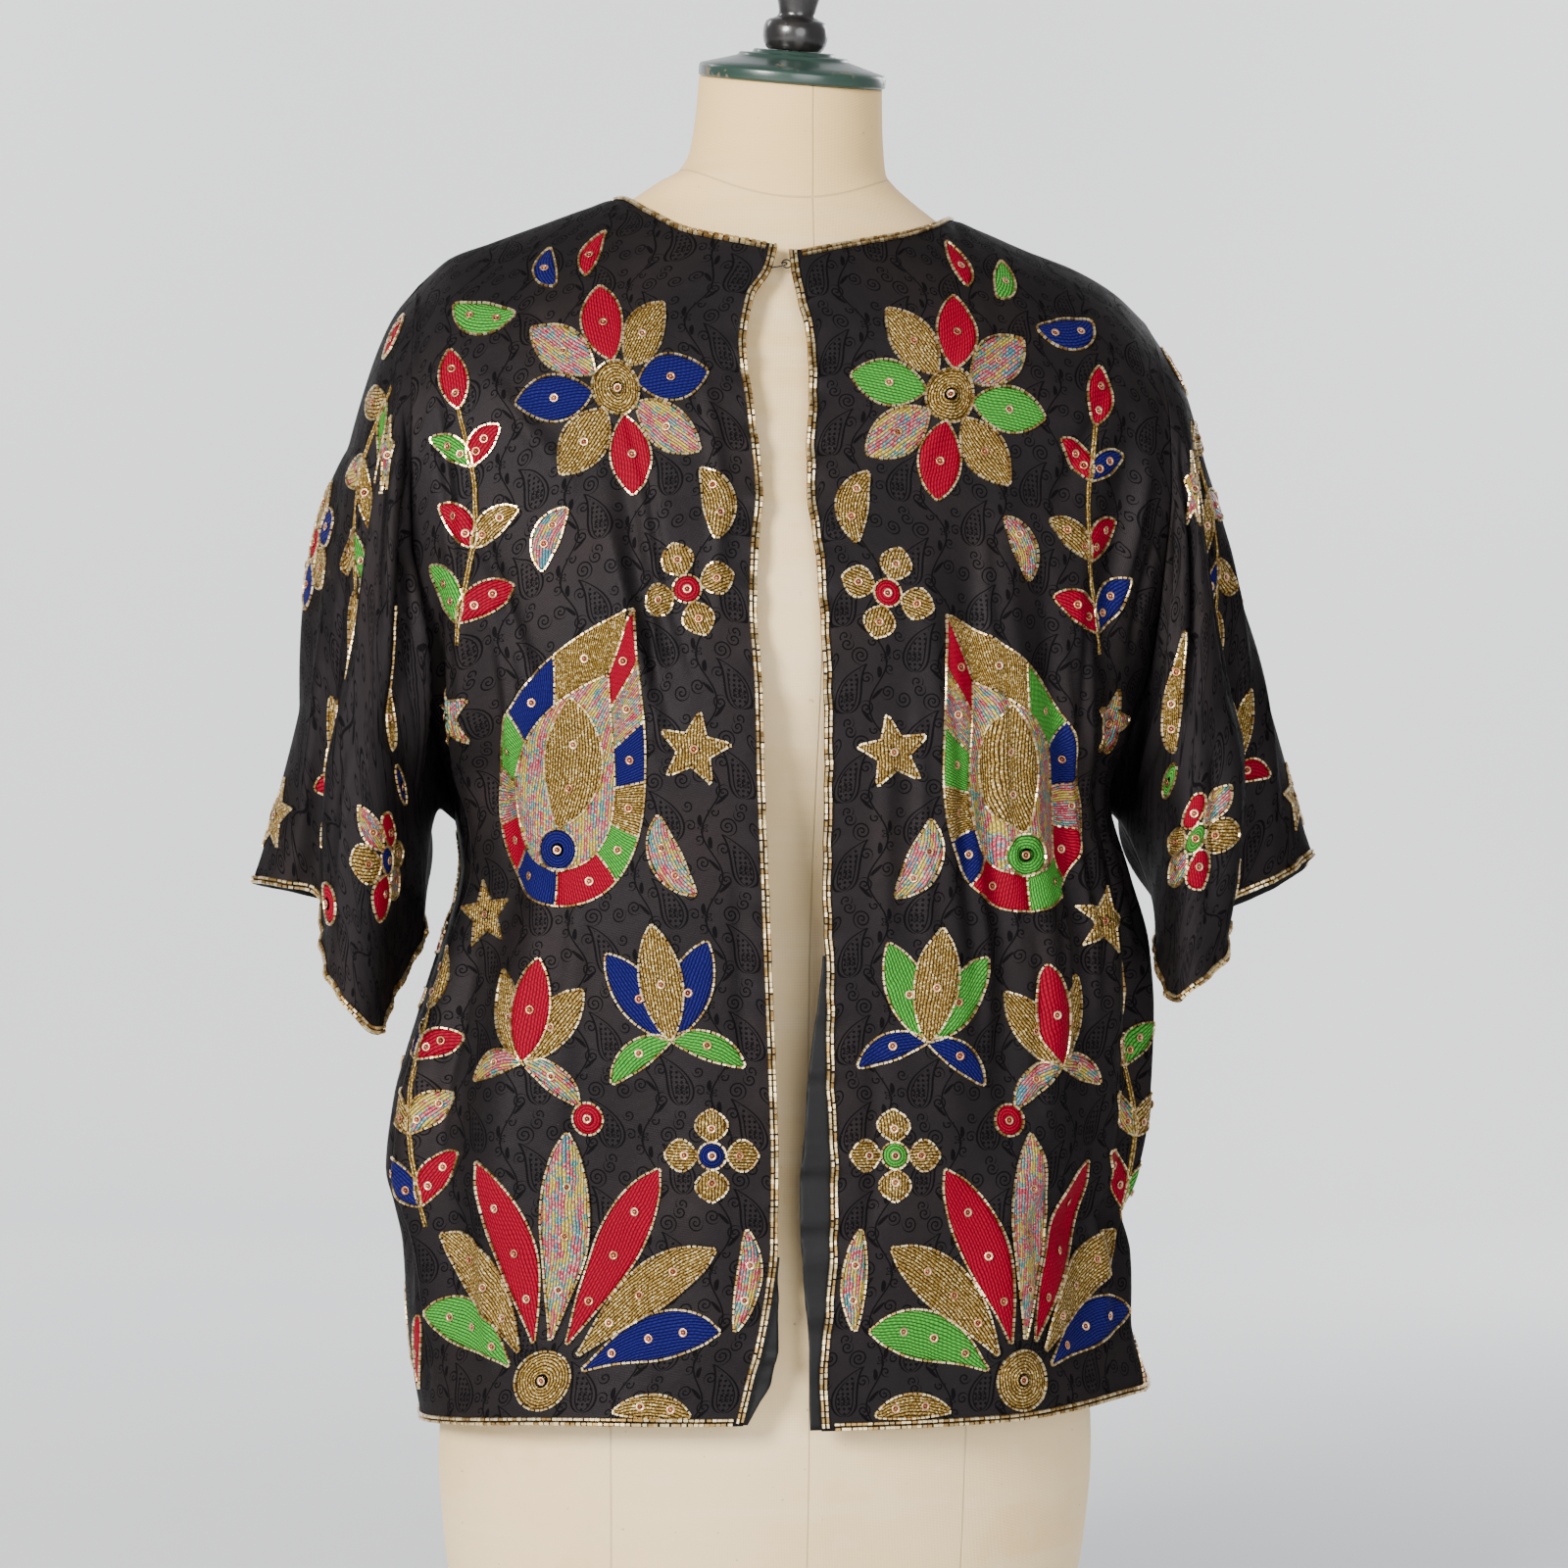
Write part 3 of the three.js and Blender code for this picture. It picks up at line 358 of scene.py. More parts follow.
def normalsOf(points, outward):
    # cross product of the differences along the two directions of the grid
    across = np.gradient(points, axis=0)
    up = np.gradient(points, axis=1)
    normal = np.cross(across, up) * outward
    return normal / np.maximum(np.linalg.norm(normal, axis=-1, keepdims=True), 1e-9)


def runningLength(points, axis):
    steps = np.linalg.norm(np.diff(points, axis=axis), axis=-1)
    pad = [(0, 0), (0, 0)]
    pad[axis] = (1, 0)
    return np.pad(np.cumsum(steps, axis=axis), pad)


def readGrid(grid, first, second, x, y):
    # bilinear reading of a grid at any place; first and second are its even scales
    i = np.clip((x - first[0]) / (first[-1] - first[0]) * (len(first) - 1), 0, len(first) - 1.001)
    j = np.clip((y - second[0]) / (second[-1] - second[0]) * (len(second) - 1), 0, len(second) - 1.001)
    i0, j0 = i.astype(int), j.astype(int)
    s, t = i - i0, j - j0
    if grid.ndim > 2:
        s, t = s[..., None], t[..., None]
    low = grid[i0, j0] * (1 - s) + grid[i0 + 1, j0] * s
    high = grid[i0, j0 + 1] * (1 - s) + grid[i0 + 1, j0 + 1] * s
    return low * (1 - t) + high * t


class Cloth:
    # A grid of points of one cloth piece (columns u, rows v), its normals, and two flat measures:
    # a along the columns and b up the rows, by which patches and beads are placed.
    def __init__(self, points, outward, a, b):
        self.points, self.outward = points, outward
        self.normals = normalsOf(points, outward)
        self.a, self.b = a, b
        columns, rows = a.shape
        self.u, self.v = np.linspace(0, 1, columns), np.linspace(0, 1, rows)
        self.aRange = np.linspace(a.min(), a.max(), 160)
        self.bRange = np.linspace(b.min(), b.max(), 260)
        self.uOf = np.stack([np.interp(self.aRange, a[:, j], self.u) for j in range(rows)], axis=1)
        self.vOf = np.stack([np.interp(self.bRange, b[i], self.v) for i in range(columns)], axis=0)

    def find(self, a, b):
        # u and v for flat measures: the two inverse tables are read in turn until they agree
        v = np.clip((b - self.bRange[0]) / (self.bRange[-1] - self.bRange[0]), 0, 1)
        for _ in range(10):
            u = readGrid(self.uOf, self.aRange, self.v, a, v)
            v = readGrid(self.vOf, self.u, self.bRange, u, b)
        return u, v

    def on(self, u, v, lift=0.0):
        point = readGrid(self.points, self.u, self.v, u, v)
        normal = readGrid(self.normals, self.u, self.v, u, v)
        normal = normal / np.linalg.norm(normal, axis=-1, keepdims=True)
        return point + normal * np.asarray(lift)[..., None], normal


def folded(points, outward, lift):
    return points + normalsOf(points, outward) * lift[..., None]


def frontCloth(side):
    name = sideName(side)
    columns, rows = cutSizes["frontCells"]
    u, v = np.meshgrid(np.linspace(0, 1, columns + 1), np.linspace(0, 1, rows + 1), indexing="ij")
    smooth = frontPoint(side, u, v)
    across, up = u * frontFlat[0], rowHeight(v) * frontFlat[1]
    broad, sharp = foldGain["front"]
    lift = broad * foldLift(frontFolds[name], across, up) + sharp * foldLift(frontCreases[name], across, up)
    a = runningLength(smooth, 0)
    height = smooth[..., 2]
    steady = smoothstep(height, *edgePucker["start"]) * (1 - smoothstep(height, *edgePucker["end"]))
    lift += puckers(height, a, 0.4 + side) * steady
    lift *= 1 - smoothstep(u, seamCalm["from"], 1) * seamCalm["loss"]
    return Cloth(folded(smooth, side, lift), side, a, height)


def backCloth():
    columns, rows = cutSizes["backCells"]
    share, v = np.meshgrid(np.linspace(0, 1, columns + 1), np.linspace(0, 1, rows + 1), indexing="ij")
    smooth = backPoint(2 * share - 1, v)
    across, up = share * backFlat[0], rowHeight(v) * backFlat[1]
    broad, sharp = foldGain["back"]
    lift = broad * foldLift(backFolds, across, up) + sharp * foldLift(backCreases, across, up)
    lift *= 1 - smoothstep(np.abs(2 * share - 1), seamCalm["from"], 1) * seamCalm["loss"]
    a = runningLength(smooth, 0)
    a = a - a[columns // 2]
    return Cloth(folded(smooth, -1, lift), -1, a, smooth[..., 2])


# Sleeves. Rings after the armhole, from the outer fold (angle 0) down the front,
# past the underarm (180) and up the back.
ringAngles = np.array([0, 30, 55, 80, 100, 120, 140, 160, 180, 210, 240, 270, 300, 330.0])
sleeveRings = {
    "right": [
        (0.14, [223, 223, 222, 220, 218, 213, 206, 199, 191, 199, 210, 217, 221, 223],
         [4, -42, -66, -80, -83, -80, -66, -36, 0, 34, 60, 74, 62, 36],
         [788, 772, 745, 705, 668, 628, 588, 546, 513, 548, 600, 668, 732, 776]),
        (0.4, [249, 246, 241, 236, 229, 221, 212, 202, 195, 207, 222, 235, 245, 249],
         [2, -42, -66, -82, -87, -84, -70, -38, 0, 36, 64, 78, 66, 38],
         [702, 690, 668, 636, 608, 580, 553, 524, 505, 530, 570, 614, 660, 690]),
        (0.7, [269, 262, 252, 250, 246, 236, 223, 211, 198, 206, 223, 243, 260, 269],
         [0, -32, -42, -70, -88, -95, -87, -50, -4, 30, 60, 76, 58, 28],
         [575, 568, 556, 540, 526, 512, 500, 488, 480, 492, 506, 522, 546, 568]),
        (1, [294, 277, 259, 257, 253, 240, 226, 218, 200, 205, 224, 250, 275, 292],
         [0, -22, -22, -58, -88, -97, -86, -50, -10, 25, 60, 78, 55, 25],
         [470, 468, 463, 437, 419, 401, 391, 408, 440, 456, 458, 458, 464, 468]),
    ],
    "left": [
        (0.14, [221, 222, 221, 219, 216, 212, 206, 198, 191, 199, 210, 218, 221, 222],
         [4, -42, -66, -80, -84, -81, -67, -36, 0, 34, 60, 74, 62, 36],
         [781, 764, 737, 698, 662, 624, 586, 548, 518, 550, 600, 664, 726, 768]),
        (0.4, [248, 247, 241, 233, 223, 214, 206, 202, 199, 208, 222, 236, 246, 249],
         [2, -40, -66, -84, -92, -92, -78, -42, 0, 36, 64, 78, 66, 38],
         [697, 684, 662, 632, 606, 580, 556, 530, 512, 532, 570, 612, 656, 686]),
        (0.7, [285, 274, 258, 253, 241, 226, 214, 211, 211, 218, 236, 258, 278, 286],
         [0, -34, -42, -70, -90, -98, -90, -50, -4, 32, 62, 78, 60, 28],
         [588, 580, 566, 548, 534, 520, 506, 496, 489, 500, 514, 530, 556, 580]),
        (1, [314, 289, 261, 250, 243, 223, 213, 212, 222, 230, 246, 272, 298, 313],
         [0, -26, -27, -62, -85, -96, -88, -50, -12, 24, 60, 78, 56, 26],
         [492, 479, 466, 450, 434, 419, 412, 432, 452, 462, 458, 456, 468, 482]),
    ],
}


def ringValue(values, angle):
    # closed Hermite curve through the ring's values; a slope is the chord of its two neighbours
    places = np.concatenate([ringAngles[-2:] - 360, ringAngles, ringAngles[:3] + 360])
    wrapped = np.concatenate([values[-2:], values, values[:3]]).astype(float)
    slopes = np.zeros_like(wrapped)
    slopes[1:-1] = (wrapped[2:] - wrapped[:-2]) / (places[2:] - places[:-2])
    return readCurve(places, wrapped, slopes, angle % 360)


def sleeveCloth(side, front, back):
    name = sideName(side)
    columns, rows = cutSizes["sleeveCells"]
    u = np.linspace(0, 1, columns + 1)
    angle = 180 + 360 * u
    around = angle % 360
    low = cutSizes["underarm"]
    onFront = (around < 180) & (u > 0)
    downV = 1 - (around / 180) * (1 - low)
    upV = low + (np.maximum(around - 180, 0) / 180) * (1 - low)
    end = np.ones_like(u)
    seamFront = front.on(end, downV)[0]
    seamBack = back.on(end if side > 0 else 0 * end, upV)[0]
    seam = np.where(onFront[:, None], seamFront, seamBack)
    rings = sleeveRings[name]
    places = np.array([0] + [ring[0] for ring in rings])
    knots = [seam]
    for _, out, y, z in rings:
        ring = [side * ringValue(out, angle), ringValue(y, angle), ringValue(z, angle)]
        knots.append(np.stack(ring, axis=-1))
    knots = np.stack(knots)
    t = np.linspace(0, 1, rows + 1)
    smooth = readCurve(places, knots, slopesOf(places, knots), t).transpose(1, 0, 2)
    across, up = np.meshgrid(around / 360 * sleeveFlat[0], t * sleeveFlat[1], indexing="ij")
    broad, sharp = foldGain["sleeve"]
    folds = [row[:5] + [broad * row[5]] for row in sleeveFolds[name]]
    folds += [row[:5] + [sharp * row[5]] for row in sleeveCreases[name]]
    lift = sum(foldLift(folds, across + turn * sleeveFlat[0], up) for turn in (-1, 0, 1))
    a = runningLength(smooth, 0)
    fromCuff = (1 - t)[None, :] * edgePucker["sleeveLength"]
    lift += puckers(a, fromCuff, 1.1 + side) * edgePucker["sleeveShare"]
    lift *= smoothstep(t, 0, seamCalm["armhole"])[None, :]
    a = a - a[columns // 2]
    return Cloth(folded(smooth, side, lift), side, a, np.broadcast_to(t * sleeveFlat[1], a.shape))


def makeMesh(name, points, quads, materials, triangles=None, features=None, faceMaterial=None, smooth=True):
    # points in millimetres; quads and triangles are index arrays
    mesh = bpy.data.meshes.new(name)
    parts = [np.asarray(quads, np.int32).reshape(-1, 4)]
    sizes = [np.full(len(parts[0]), 4, np.int32)]
    if triangles is not None and len(triangles):
        parts.append(np.asarray(triangles, np.int32).reshape(-1, 3))
        sizes.append(np.full(len(parts[1]), 3, np.int32))
    loops = np.concatenate([part.ravel() for part in parts])
    size = np.concatenate(sizes)
    mesh.vertices.add(len(points))
    mesh.vertices.foreach_set("co", (np.asarray(points) / 1000).astype(np.float32).ravel())
    mesh.loops.add(len(loops))
    mesh.loops.foreach_set("vertex_index", loops)
    mesh.polygons.add(len(size))
    mesh.polygons.foreach_set("loop_start", np.concatenate([[0], np.cumsum(size)[:-1]]).astype(np.int32))
    if faceMaterial is not None:
        mesh.polygons.foreach_set("material_index", np.asarray(faceMaterial, np.int32))
    mesh.update(calc_edges=True)
    mesh.polygons.foreach_set("use_smooth", np.full(len(size), smooth))
    for feature, values in (features or {}).items():
        attribute = mesh.attributes.new(feature, "FLOAT_VECTOR", "POINT")
        attribute.data.foreach_set("vector", np.asarray(values, np.float32).ravel())
    for material in materials:
        mesh.materials.append(material)
    piece = bpy.data.objects.new(name, mesh)
    bpy.context.scene.collection.objects.link(piece)
    return piece


def gridQuads(columns, rows, outward, start=0, aroundColumns=False):
    # quads of a grid whose points run row by row inside each column
    i = np.arange(columns if aroundColumns else columns - 1)
    j = np.arange(rows - 1)
    i, j = [part.ravel() for part in np.meshgrid(i, j, indexing="ij")]
    after = (i + 1) % columns
    quads = np.stack([i * rows + j, after * rows + j, after * rows + j + 1, i * rows + j + 1], axis=1)
    return start + (quads if outward > 0 else quads[:, ::-1])


def wallFaces(columns, rows, outward):
    # outer grid, inner grid turned round, and the four edges that close them
    layer = columns * rows
    outer = gridQuads(columns, rows, outward)
    inner = gridQuads(columns, rows, -outward, layer)
    i, j = np.arange(columns - 1), np.arange(rows - 1)
    last, top = (columns - 1) * rows, rows - 1
    foot = np.stack([i * rows, i * rows + layer, (i + 1) * rows + layer, (i + 1) * rows], axis=1)
    ahead = (i + 1) * rows + top
    head = np.stack([i * rows + top, ahead, ahead + layer, i * rows + top + layer], axis=1)
    start = np.stack([j, j + 1, j + 1 + layer, j + layer], axis=1)
    end = np.stack([last + j, last + j + layer, last + j + 1 + layer, last + j + 1], axis=1)
    edges = np.concatenate([foot, head, start, end])
    edges = edges if outward > 0 else edges[:, ::-1]
    return outer, inner, edges


def endFans(sides, rows):
    # triangles from the first and last rows to two middles, which come after the grid's points
    k = np.arange(sides)
    after, count = (k + 1) % sides, sides * rows
    foot = np.stack([k * rows, np.full(sides, count), after * rows], axis=1)
    head = np.stack([k * rows + rows - 1, after * rows + rows - 1, np.full(sides, count + 1)], axis=1)
    return np.concatenate([foot, head])


def turnedGrid(ring, sides):
    # rows of radius, height carried round +Z: (radius cos, radius sin, height), column by column
    angle = np.linspace(0, 2 * np.pi, sides, endpoint=False)[:, None]
    around = [ring[:, 0] * np.cos(angle), ring[:, 0] * np.sin(angle), ring[:, 1] + 0 * angle]
    return np.stack(around, axis=-1).reshape(-1, 3)


def turnedShape(profile, sides):
    # points, quads and triangles of a profile turned about +Z, its ends closed at their middles
    profile = np.array(profile, float)
    ends = [[0, 0, profile[0, 1]], [0, 0, profile[-1, 1]]]
    points = np.concatenate([turnedGrid(profile[1:-1], sides), ends])
    rows = len(profile) - 2
    return points, gridQuads(sides, rows, 1, aroundColumns=True), endFans(sides, rows)


def makeCloth(name, cloth, thick, materials):
    # a thin closed wall from the cloth's grid to a grid set in along its normals
    columns, rows = cloth.a.shape
    outer, inner, edges = wallFaces(columns, rows, cloth.outward)
    layers = [cloth.points, cloth.points - cloth.normals * thick]
    points = np.concatenate([layer.reshape(-1, 3) for layer in layers])
    up = runningLength(cloth.points, 1)
    flat = np.stack([cloth.a, up, np.zeros_like(up)], axis=-1).reshape(-1, 3) / 1000
    kinds = np.concatenate([np.zeros(len(outer)), np.ones(len(inner)), np.zeros(len(edges))])
    faces = np.concatenate([outer, inner, edges])
    features = {"flat": np.tile(flat, (2, 1))}
    return makeMesh(name, points, faces, materials, features=features, faceMaterial=kinds)


class Wire:
    # One output socket; sums and products of wires add Math nodes.
    def __init__(self, finish, socket):
        self.finish, self.socket = finish, socket

    def math(self, operation, *others):
        return self.finish.maths(operation, self, *others)

    def __add__(self, other):
        return self.math("ADD", other)

    def __sub__(self, other):
        return self.math("SUBTRACT", other)

    def __mul__(self, other):
        return self.math("MULTIPLY", other)

    def __truediv__(self, other):
        return self.math("DIVIDE", other)

    def __pow__(self, other):
        return self.math("POWER", other)

    def __mod__(self, other):
        return self.math("FLOORED_MODULO", other)

    def __radd__(self, other):
        return self.finish.maths("ADD", other, self)

    def __rsub__(self, other):
        return self.finish.maths("SUBTRACT", other, self)

    def __rmul__(self, other):
        return self.finish.maths("MULTIPLY", other, self)

    def __neg__(self):
        return self.math("MULTIPLY", -1)

    def __abs__(self):
        return self.math("ABSOLUTE")

    def larger(self, other):
        return self.math("MAXIMUM", other)

    def smaller(self, other):
        return self.math("MINIMUM", other)

    def step(self, low, high):
        # smooth rise from 0 at low to 1 at high
        sockets = {"Value": self, "From Min": low, "From Max": high}
        return self.finish.node("ShaderNodeMapRange", {"interpolation_type": "SMOOTHSTEP"}, sockets)

    def near(self, half, soft=0.35):
        # 1 where the size of this wire is under half
        return 1 - abs(self).step(half - soft / 2, half + soft / 2)


class Finish:
    def __init__(self, name, constants=None):
        self.material = bpy.data.materials.new(name)
        self.material.use_nodes = True
        self.tree = self.material.node_tree
        self.shader = self.tree.nodes["Principled BSDF"]
        for socket, value in (constants or {}).items():
            self.shader.inputs[socket].default_value = value

    def put(self, socket, value):
        if isinstance(value, Wire):
            self.tree.links.new(value.socket, socket)
        else:
            socket.default_value = value

    def node(self, kind, settings=None, sockets=None, output=0):
        node = self.tree.nodes.new(kind)
        for setting, value in (settings or {}).items():
            setattr(node, setting, value)
        for socket, value in (sockets or {}).items():
            self.put(node.inputs[socket], value)
        return Wire(self, node.outputs[output])

    def maths(self, operation, *values):
        return self.node("ShaderNodeMath", {"operation": operation}, dict(enumerate(values)))

    def mixed(self, factor, first, second):
        first, second = [value if isinstance(value, Wire) else (*value, 1) for value in (first, second)]
        return self.node("ShaderNodeMix", {"data_type": "RGBA"}, {0: factor, 6: first, 7: second}, 2)

    def noise(self, place, scale, detail=2, rough=0.5):
        sockets = {"Vector": place, "Scale": scale, "Detail": detail, "Roughness": rough}
        return self.node("ShaderNodeTexNoise", None, sockets)

    def objectPlace(self):
        return self.node("ShaderNodeTexCoord", output="Object")

    def feature(self, name):
        return self.node("ShaderNodeAttribute", {"attribute_name": name}, output="Vector")

    def parts(self, vector, scale=1000):
        # x, y and z of a vector, in millimetres
        node = self.tree.nodes.new("ShaderNodeSeparateXYZ")
        self.put(node.inputs[0], vector)
        return [Wire(self, output) * scale for output in node.outputs]

    def joined(self, x, y, z=0.0):
        return self.node("ShaderNodeCombineXYZ", None, {0: x, 1: y, 2: z})

    def colour(self, wire):
        self.put(self.shader.inputs["Base Color"], wire)

    def rough(self, wire):
        self.put(self.shader.inputs["Roughness"], wire)

    def bump(self, height, strength, distance):
        sockets = {"Height": height, "Strength": strength, "Distance": distance}
        self.put(self.shader.inputs["Normal"], self.node("ShaderNodeBump", None, sockets))


silkLook = {  # tones of the silk, of its woven figure and of its worn places
    "ground": (0.0175, 0.0152, 0.0160), "figure": (0.0045, 0.0040, 0.0046), "worn": (0.0290, 0.0215, 0.0205),
    "across": 62, "up": 76, "scale": 1.6,  # repeat of the woven pattern in its own units, half-drop
    "rib": 0.9, "twill": 0.7,  # spacing of the weave's own lines, mm
    "scrolls": [  # x, y, which way it turns, reach
        (3, 24, 1, 8.5), (25, -8, -1, 7), (-22, 25, -1, 7.5), (6, -22, 1, 7), (-27, -14, -1, 5.5),
        (7, 4, -1, 6), (-8, 34, 1, 6), (-25, 3, 1, 5.5), (14, 36, -1, 6), (-10, -35, 1, 6), (28, 12, 1, 5),
    ],
}


def wovenFigure(p, q):
    # Half-drop repeat of a bent drop, a running vine with leaves, and scrolls; 1 on the figure.
    width, height = silkLook["across"], silkLook["up"]
    column = (p / width).math("FLOOR")
    x = p % width - width / 2
    y = (q + (column % 2) * (height / 2)) % height - height / 2
    # bent drop: half width 28.6 * sqrt(t) * (1 - t) about a line that bends as t cubed
    t = ((y + 27) / 44).math("MAXIMUM", 0).math("MINIMUM", 1)
    inside = (y + 27).step(-0.2, 0.4) * (17 - y).step(-0.2, 0.4)
    bentX = x + 11 - t * t * t * 19
    rim = abs(bentX) - (t.math("SQRT") * (1 - t)) * 28.6
    drop = (rim.near(0.95) + (rim + 3.6).near(0.6) * (6 - y).step(0, 4)) * inside
    eyeX, eyeY = bentX, y + 13
    eyeSize = (eyeX * eyeX + eyeY * eyeY).math("SQRT")
    eyeAngle = eyeY.math("ARCTAN2", eyeX)
    flower = (eyeSize - 3.4 - (eyeAngle * 6).math("COSINE") * 1.2).near(0.55) + eyeSize.near(1.1)
    # vine: sine line up the repeat, with a leaf every quarter of it on alternate sides
    wave = (y * (2 * math.pi / height)).math("SINE")
    vineX = x - 17 - wave * 8
    vine = vineX.near(0.8)
    leafY = y % 19 - 9.5
    leafSide = ((y / 19).math("FLOOR") % 2) * 2 - 1
    leafX = vineX - leafSide * 4.2 - leafSide * leafY * 0.45
    leaf = 1 - ((leafX / 2.2) ** 2 + (leafY / 5.2) ** 2).step(0.75, 1.05)

    def scroll(cx, cy, turnWay, reach):
        # spiral line: fraction of (r / pitch - angle / 2 pi) near a half
        dx, dy = x - cx, y - cy
        r = (dx * dx + dy * dy).math("SQRT")
        angle = dy.math("ARCTAN2", dx) * (turnWay / (2 * math.pi))
        ring = ((r / 3.8 - angle) % 1 - 0.5) * 3.8
        return ring.near(0.68) * (reach - r).step(0, 0.6)

    scrolls = scroll(*silkLook["scrolls"][0])
    for spot in silkLook["scrolls"][1:]:
        scrolls = scrolls.larger(scroll(*spot))
    # dots inside the drop, and a small floret over the vine
    dots = (((x % 4.4 - 2.2) ** 2 + (y % 4.4 - 2.2) ** 2) - 1.1).step(0.9, 0)
    filled = dots * (-2.6 - rim).step(0, 1) * inside
    floretX, floretY = x - 24, y - 22
    floretSize = (floretX * floretX + floretY * floretY).math("SQRT")
    floretTurn = floretY.math("ARCTAN2", floretX)
    floret = (floretSize - 3.2 - (floretTurn * 5).math("COSINE") * 1.3).near(0.6) + floretSize.near(1.2)
    figure = drop
    for part in (flower * inside, vine, leaf, scrolls, filled, floret):
        figure = figure.larger(part)
    return figure.smaller(1)


def jacquardSilk():
    constants = {"Metallic": 0.5, "Specular IOR Level": 0.04, "Specular Tint": (0.35, 0.35, 0.35, 1)}
    finish = Finish("jacquardSilk", constants)
    flat = finish.feature("flat")
    p, q, _ = finish.parts(flat)
    drift = finish.noise(flat, 22, 2)
    scale = silkLook["scale"]
    figure = wovenFigure(p * scale + (drift - 0.5) * 7, q * scale + (drift - 0.5) * 6)
    rib = ((q + p * 0.15) * (2 * math.pi / silkLook["rib"])).math("SINE")
    twill = ((p - q * 0.3) * (2 * math.pi / silkLook["twill"])).math("SINE")
    worn = finish.noise(flat, 9, 3, 0.6)
    shade = finish.mixed(worn.step(0.4, 0.75) * 0.6, silkLook["ground"], silkLook["worn"])
    finish.colour(finish.mixed(figure * 0.9, shade, silkLook["figure"]))
    finish.rough(0.44 + figure * 0.14 + worn * 0.16)
    crumple = finish.noise(flat, 55, 3, 0.55)
    soft = finish.noise(flat, 20, 2, 0.5)
    finish.bump((rib + twill) * 0.04 + crumple * 1.6 + soft * 3, 0.6, 0.0009)
    return finish.material


def plainSilk(name, colour, roughness):
    finish = Finish(name, {"Specular IOR Level": 0.25})
    flat = finish.feature("flat")
    p, q, _ = finish.parts(flat)
    twill = ((p + q) * (2 * math.pi / 0.8)).math("SINE")
    worn = finish.noise(flat, 14, 3)
    brighter = tuple(value * 1.7 for value in colour)
    finish.colour(finish.mixed(worn.step(0.35, 0.75), colour, brighter))
    finish.rough(roughness + worn * 0.15)
    finish.bump(twill * 0.2 + finish.noise(flat, 60, 3) * 0.9, 0.5, 0.0005)
    return finish.material


silk = jacquardSilk()
lining = plainSilk("lining", (0.006, 0.0058, 0.0065), 0.5)
facingSilk = plainSilk("facingSilk", (0.0045, 0.0044, 0.005), 0.4)
print("cloth materials made")

facingPlan = {  # mm: distance behind the front, wall, how far under it, tops of the two strips
    "gap": 1.9, "thick": 0.8, "under": 10, "rightTop": 275, "leftTop": 438,
    "hemGap": 0.3, "cells": (70, 12), "slant": 0.02,
}


def declareCloth(piece, node, rests):
    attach(piece, "root")
    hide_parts(node)


fronts = {side: frontCloth(side) for side in (-1, 1)}
back = backCloth()
sleeves = {side: sleeveCloth(side, fronts[side], back) for side in (-1, 1)}

backPiece = makeCloth("back_panel", back, cutSizes["wall"], [silk, lining])
declareCloth(backPiece, "back", ["form_torso"])
for side in (-1, 1):
    name = sideName(side)
    frontPiece = makeCloth("front_panel_" + name, fronts[side], cutSizes["wall"], [silk, lining])
    declareCloth(frontPiece, "front_" + name, ["form_torso"])
    sleevePiece = makeCloth("sleeve_panel_" + name, sleeves[side], cutSizes["wall"], [silk, lining])
    declareCloth(sleevePiece, "sleeve_" + name, ["front_panel_" + name])


def facingCloth(side):
    # strip behind the front edge: a from past the edge to under it, b up to its own top
    name = sideName(side)
    cloth = fronts[side]
    low, top = cloth.points[0, 0, 2] + facingPlan["hemGap"], facingPlan[name + "Top"]
    rows, columns = facingPlan["cells"]
    height, share = np.meshgrid(np.linspace(low, top, rows), np.linspace(0, 1, columns), indexing="ij")
    reach = -facingReach(name, height)
    a = mix(reach, facingPlan["under"], share)
    u, v = cloth.find(np.maximum(a, 0), height)
    point, normal = cloth.on(u, v)
    ahead = cloth.find(np.full_like(a, 4), height)
    inward = cloth.on(*ahead)[0] - cloth.on(*cloth.find(np.zeros_like(a), height))[0]
    inward /= np.linalg.norm(inward, axis=-1, keepdims=True)
    past = np.minimum(a, 0)
    behind = facingPlan["gap"] - facingPlan["slant"] * past
    point = point + inward * past[..., None] - normal * behind[..., None]
    points = point.transpose(1, 0, 2)
    return Cloth(points, side, a.T - a.min(), height.T)


for side in (-1, 1):
    name = "facing_" + sideName(side)
    piece = makeCloth(name + "_strip", facingCloth(side), facingPlan["thick"], [facingSilk, facingSilk])
    declareCloth(piece, name, ["front_panel_" + sideName(side)])
print("cloth pieces made")

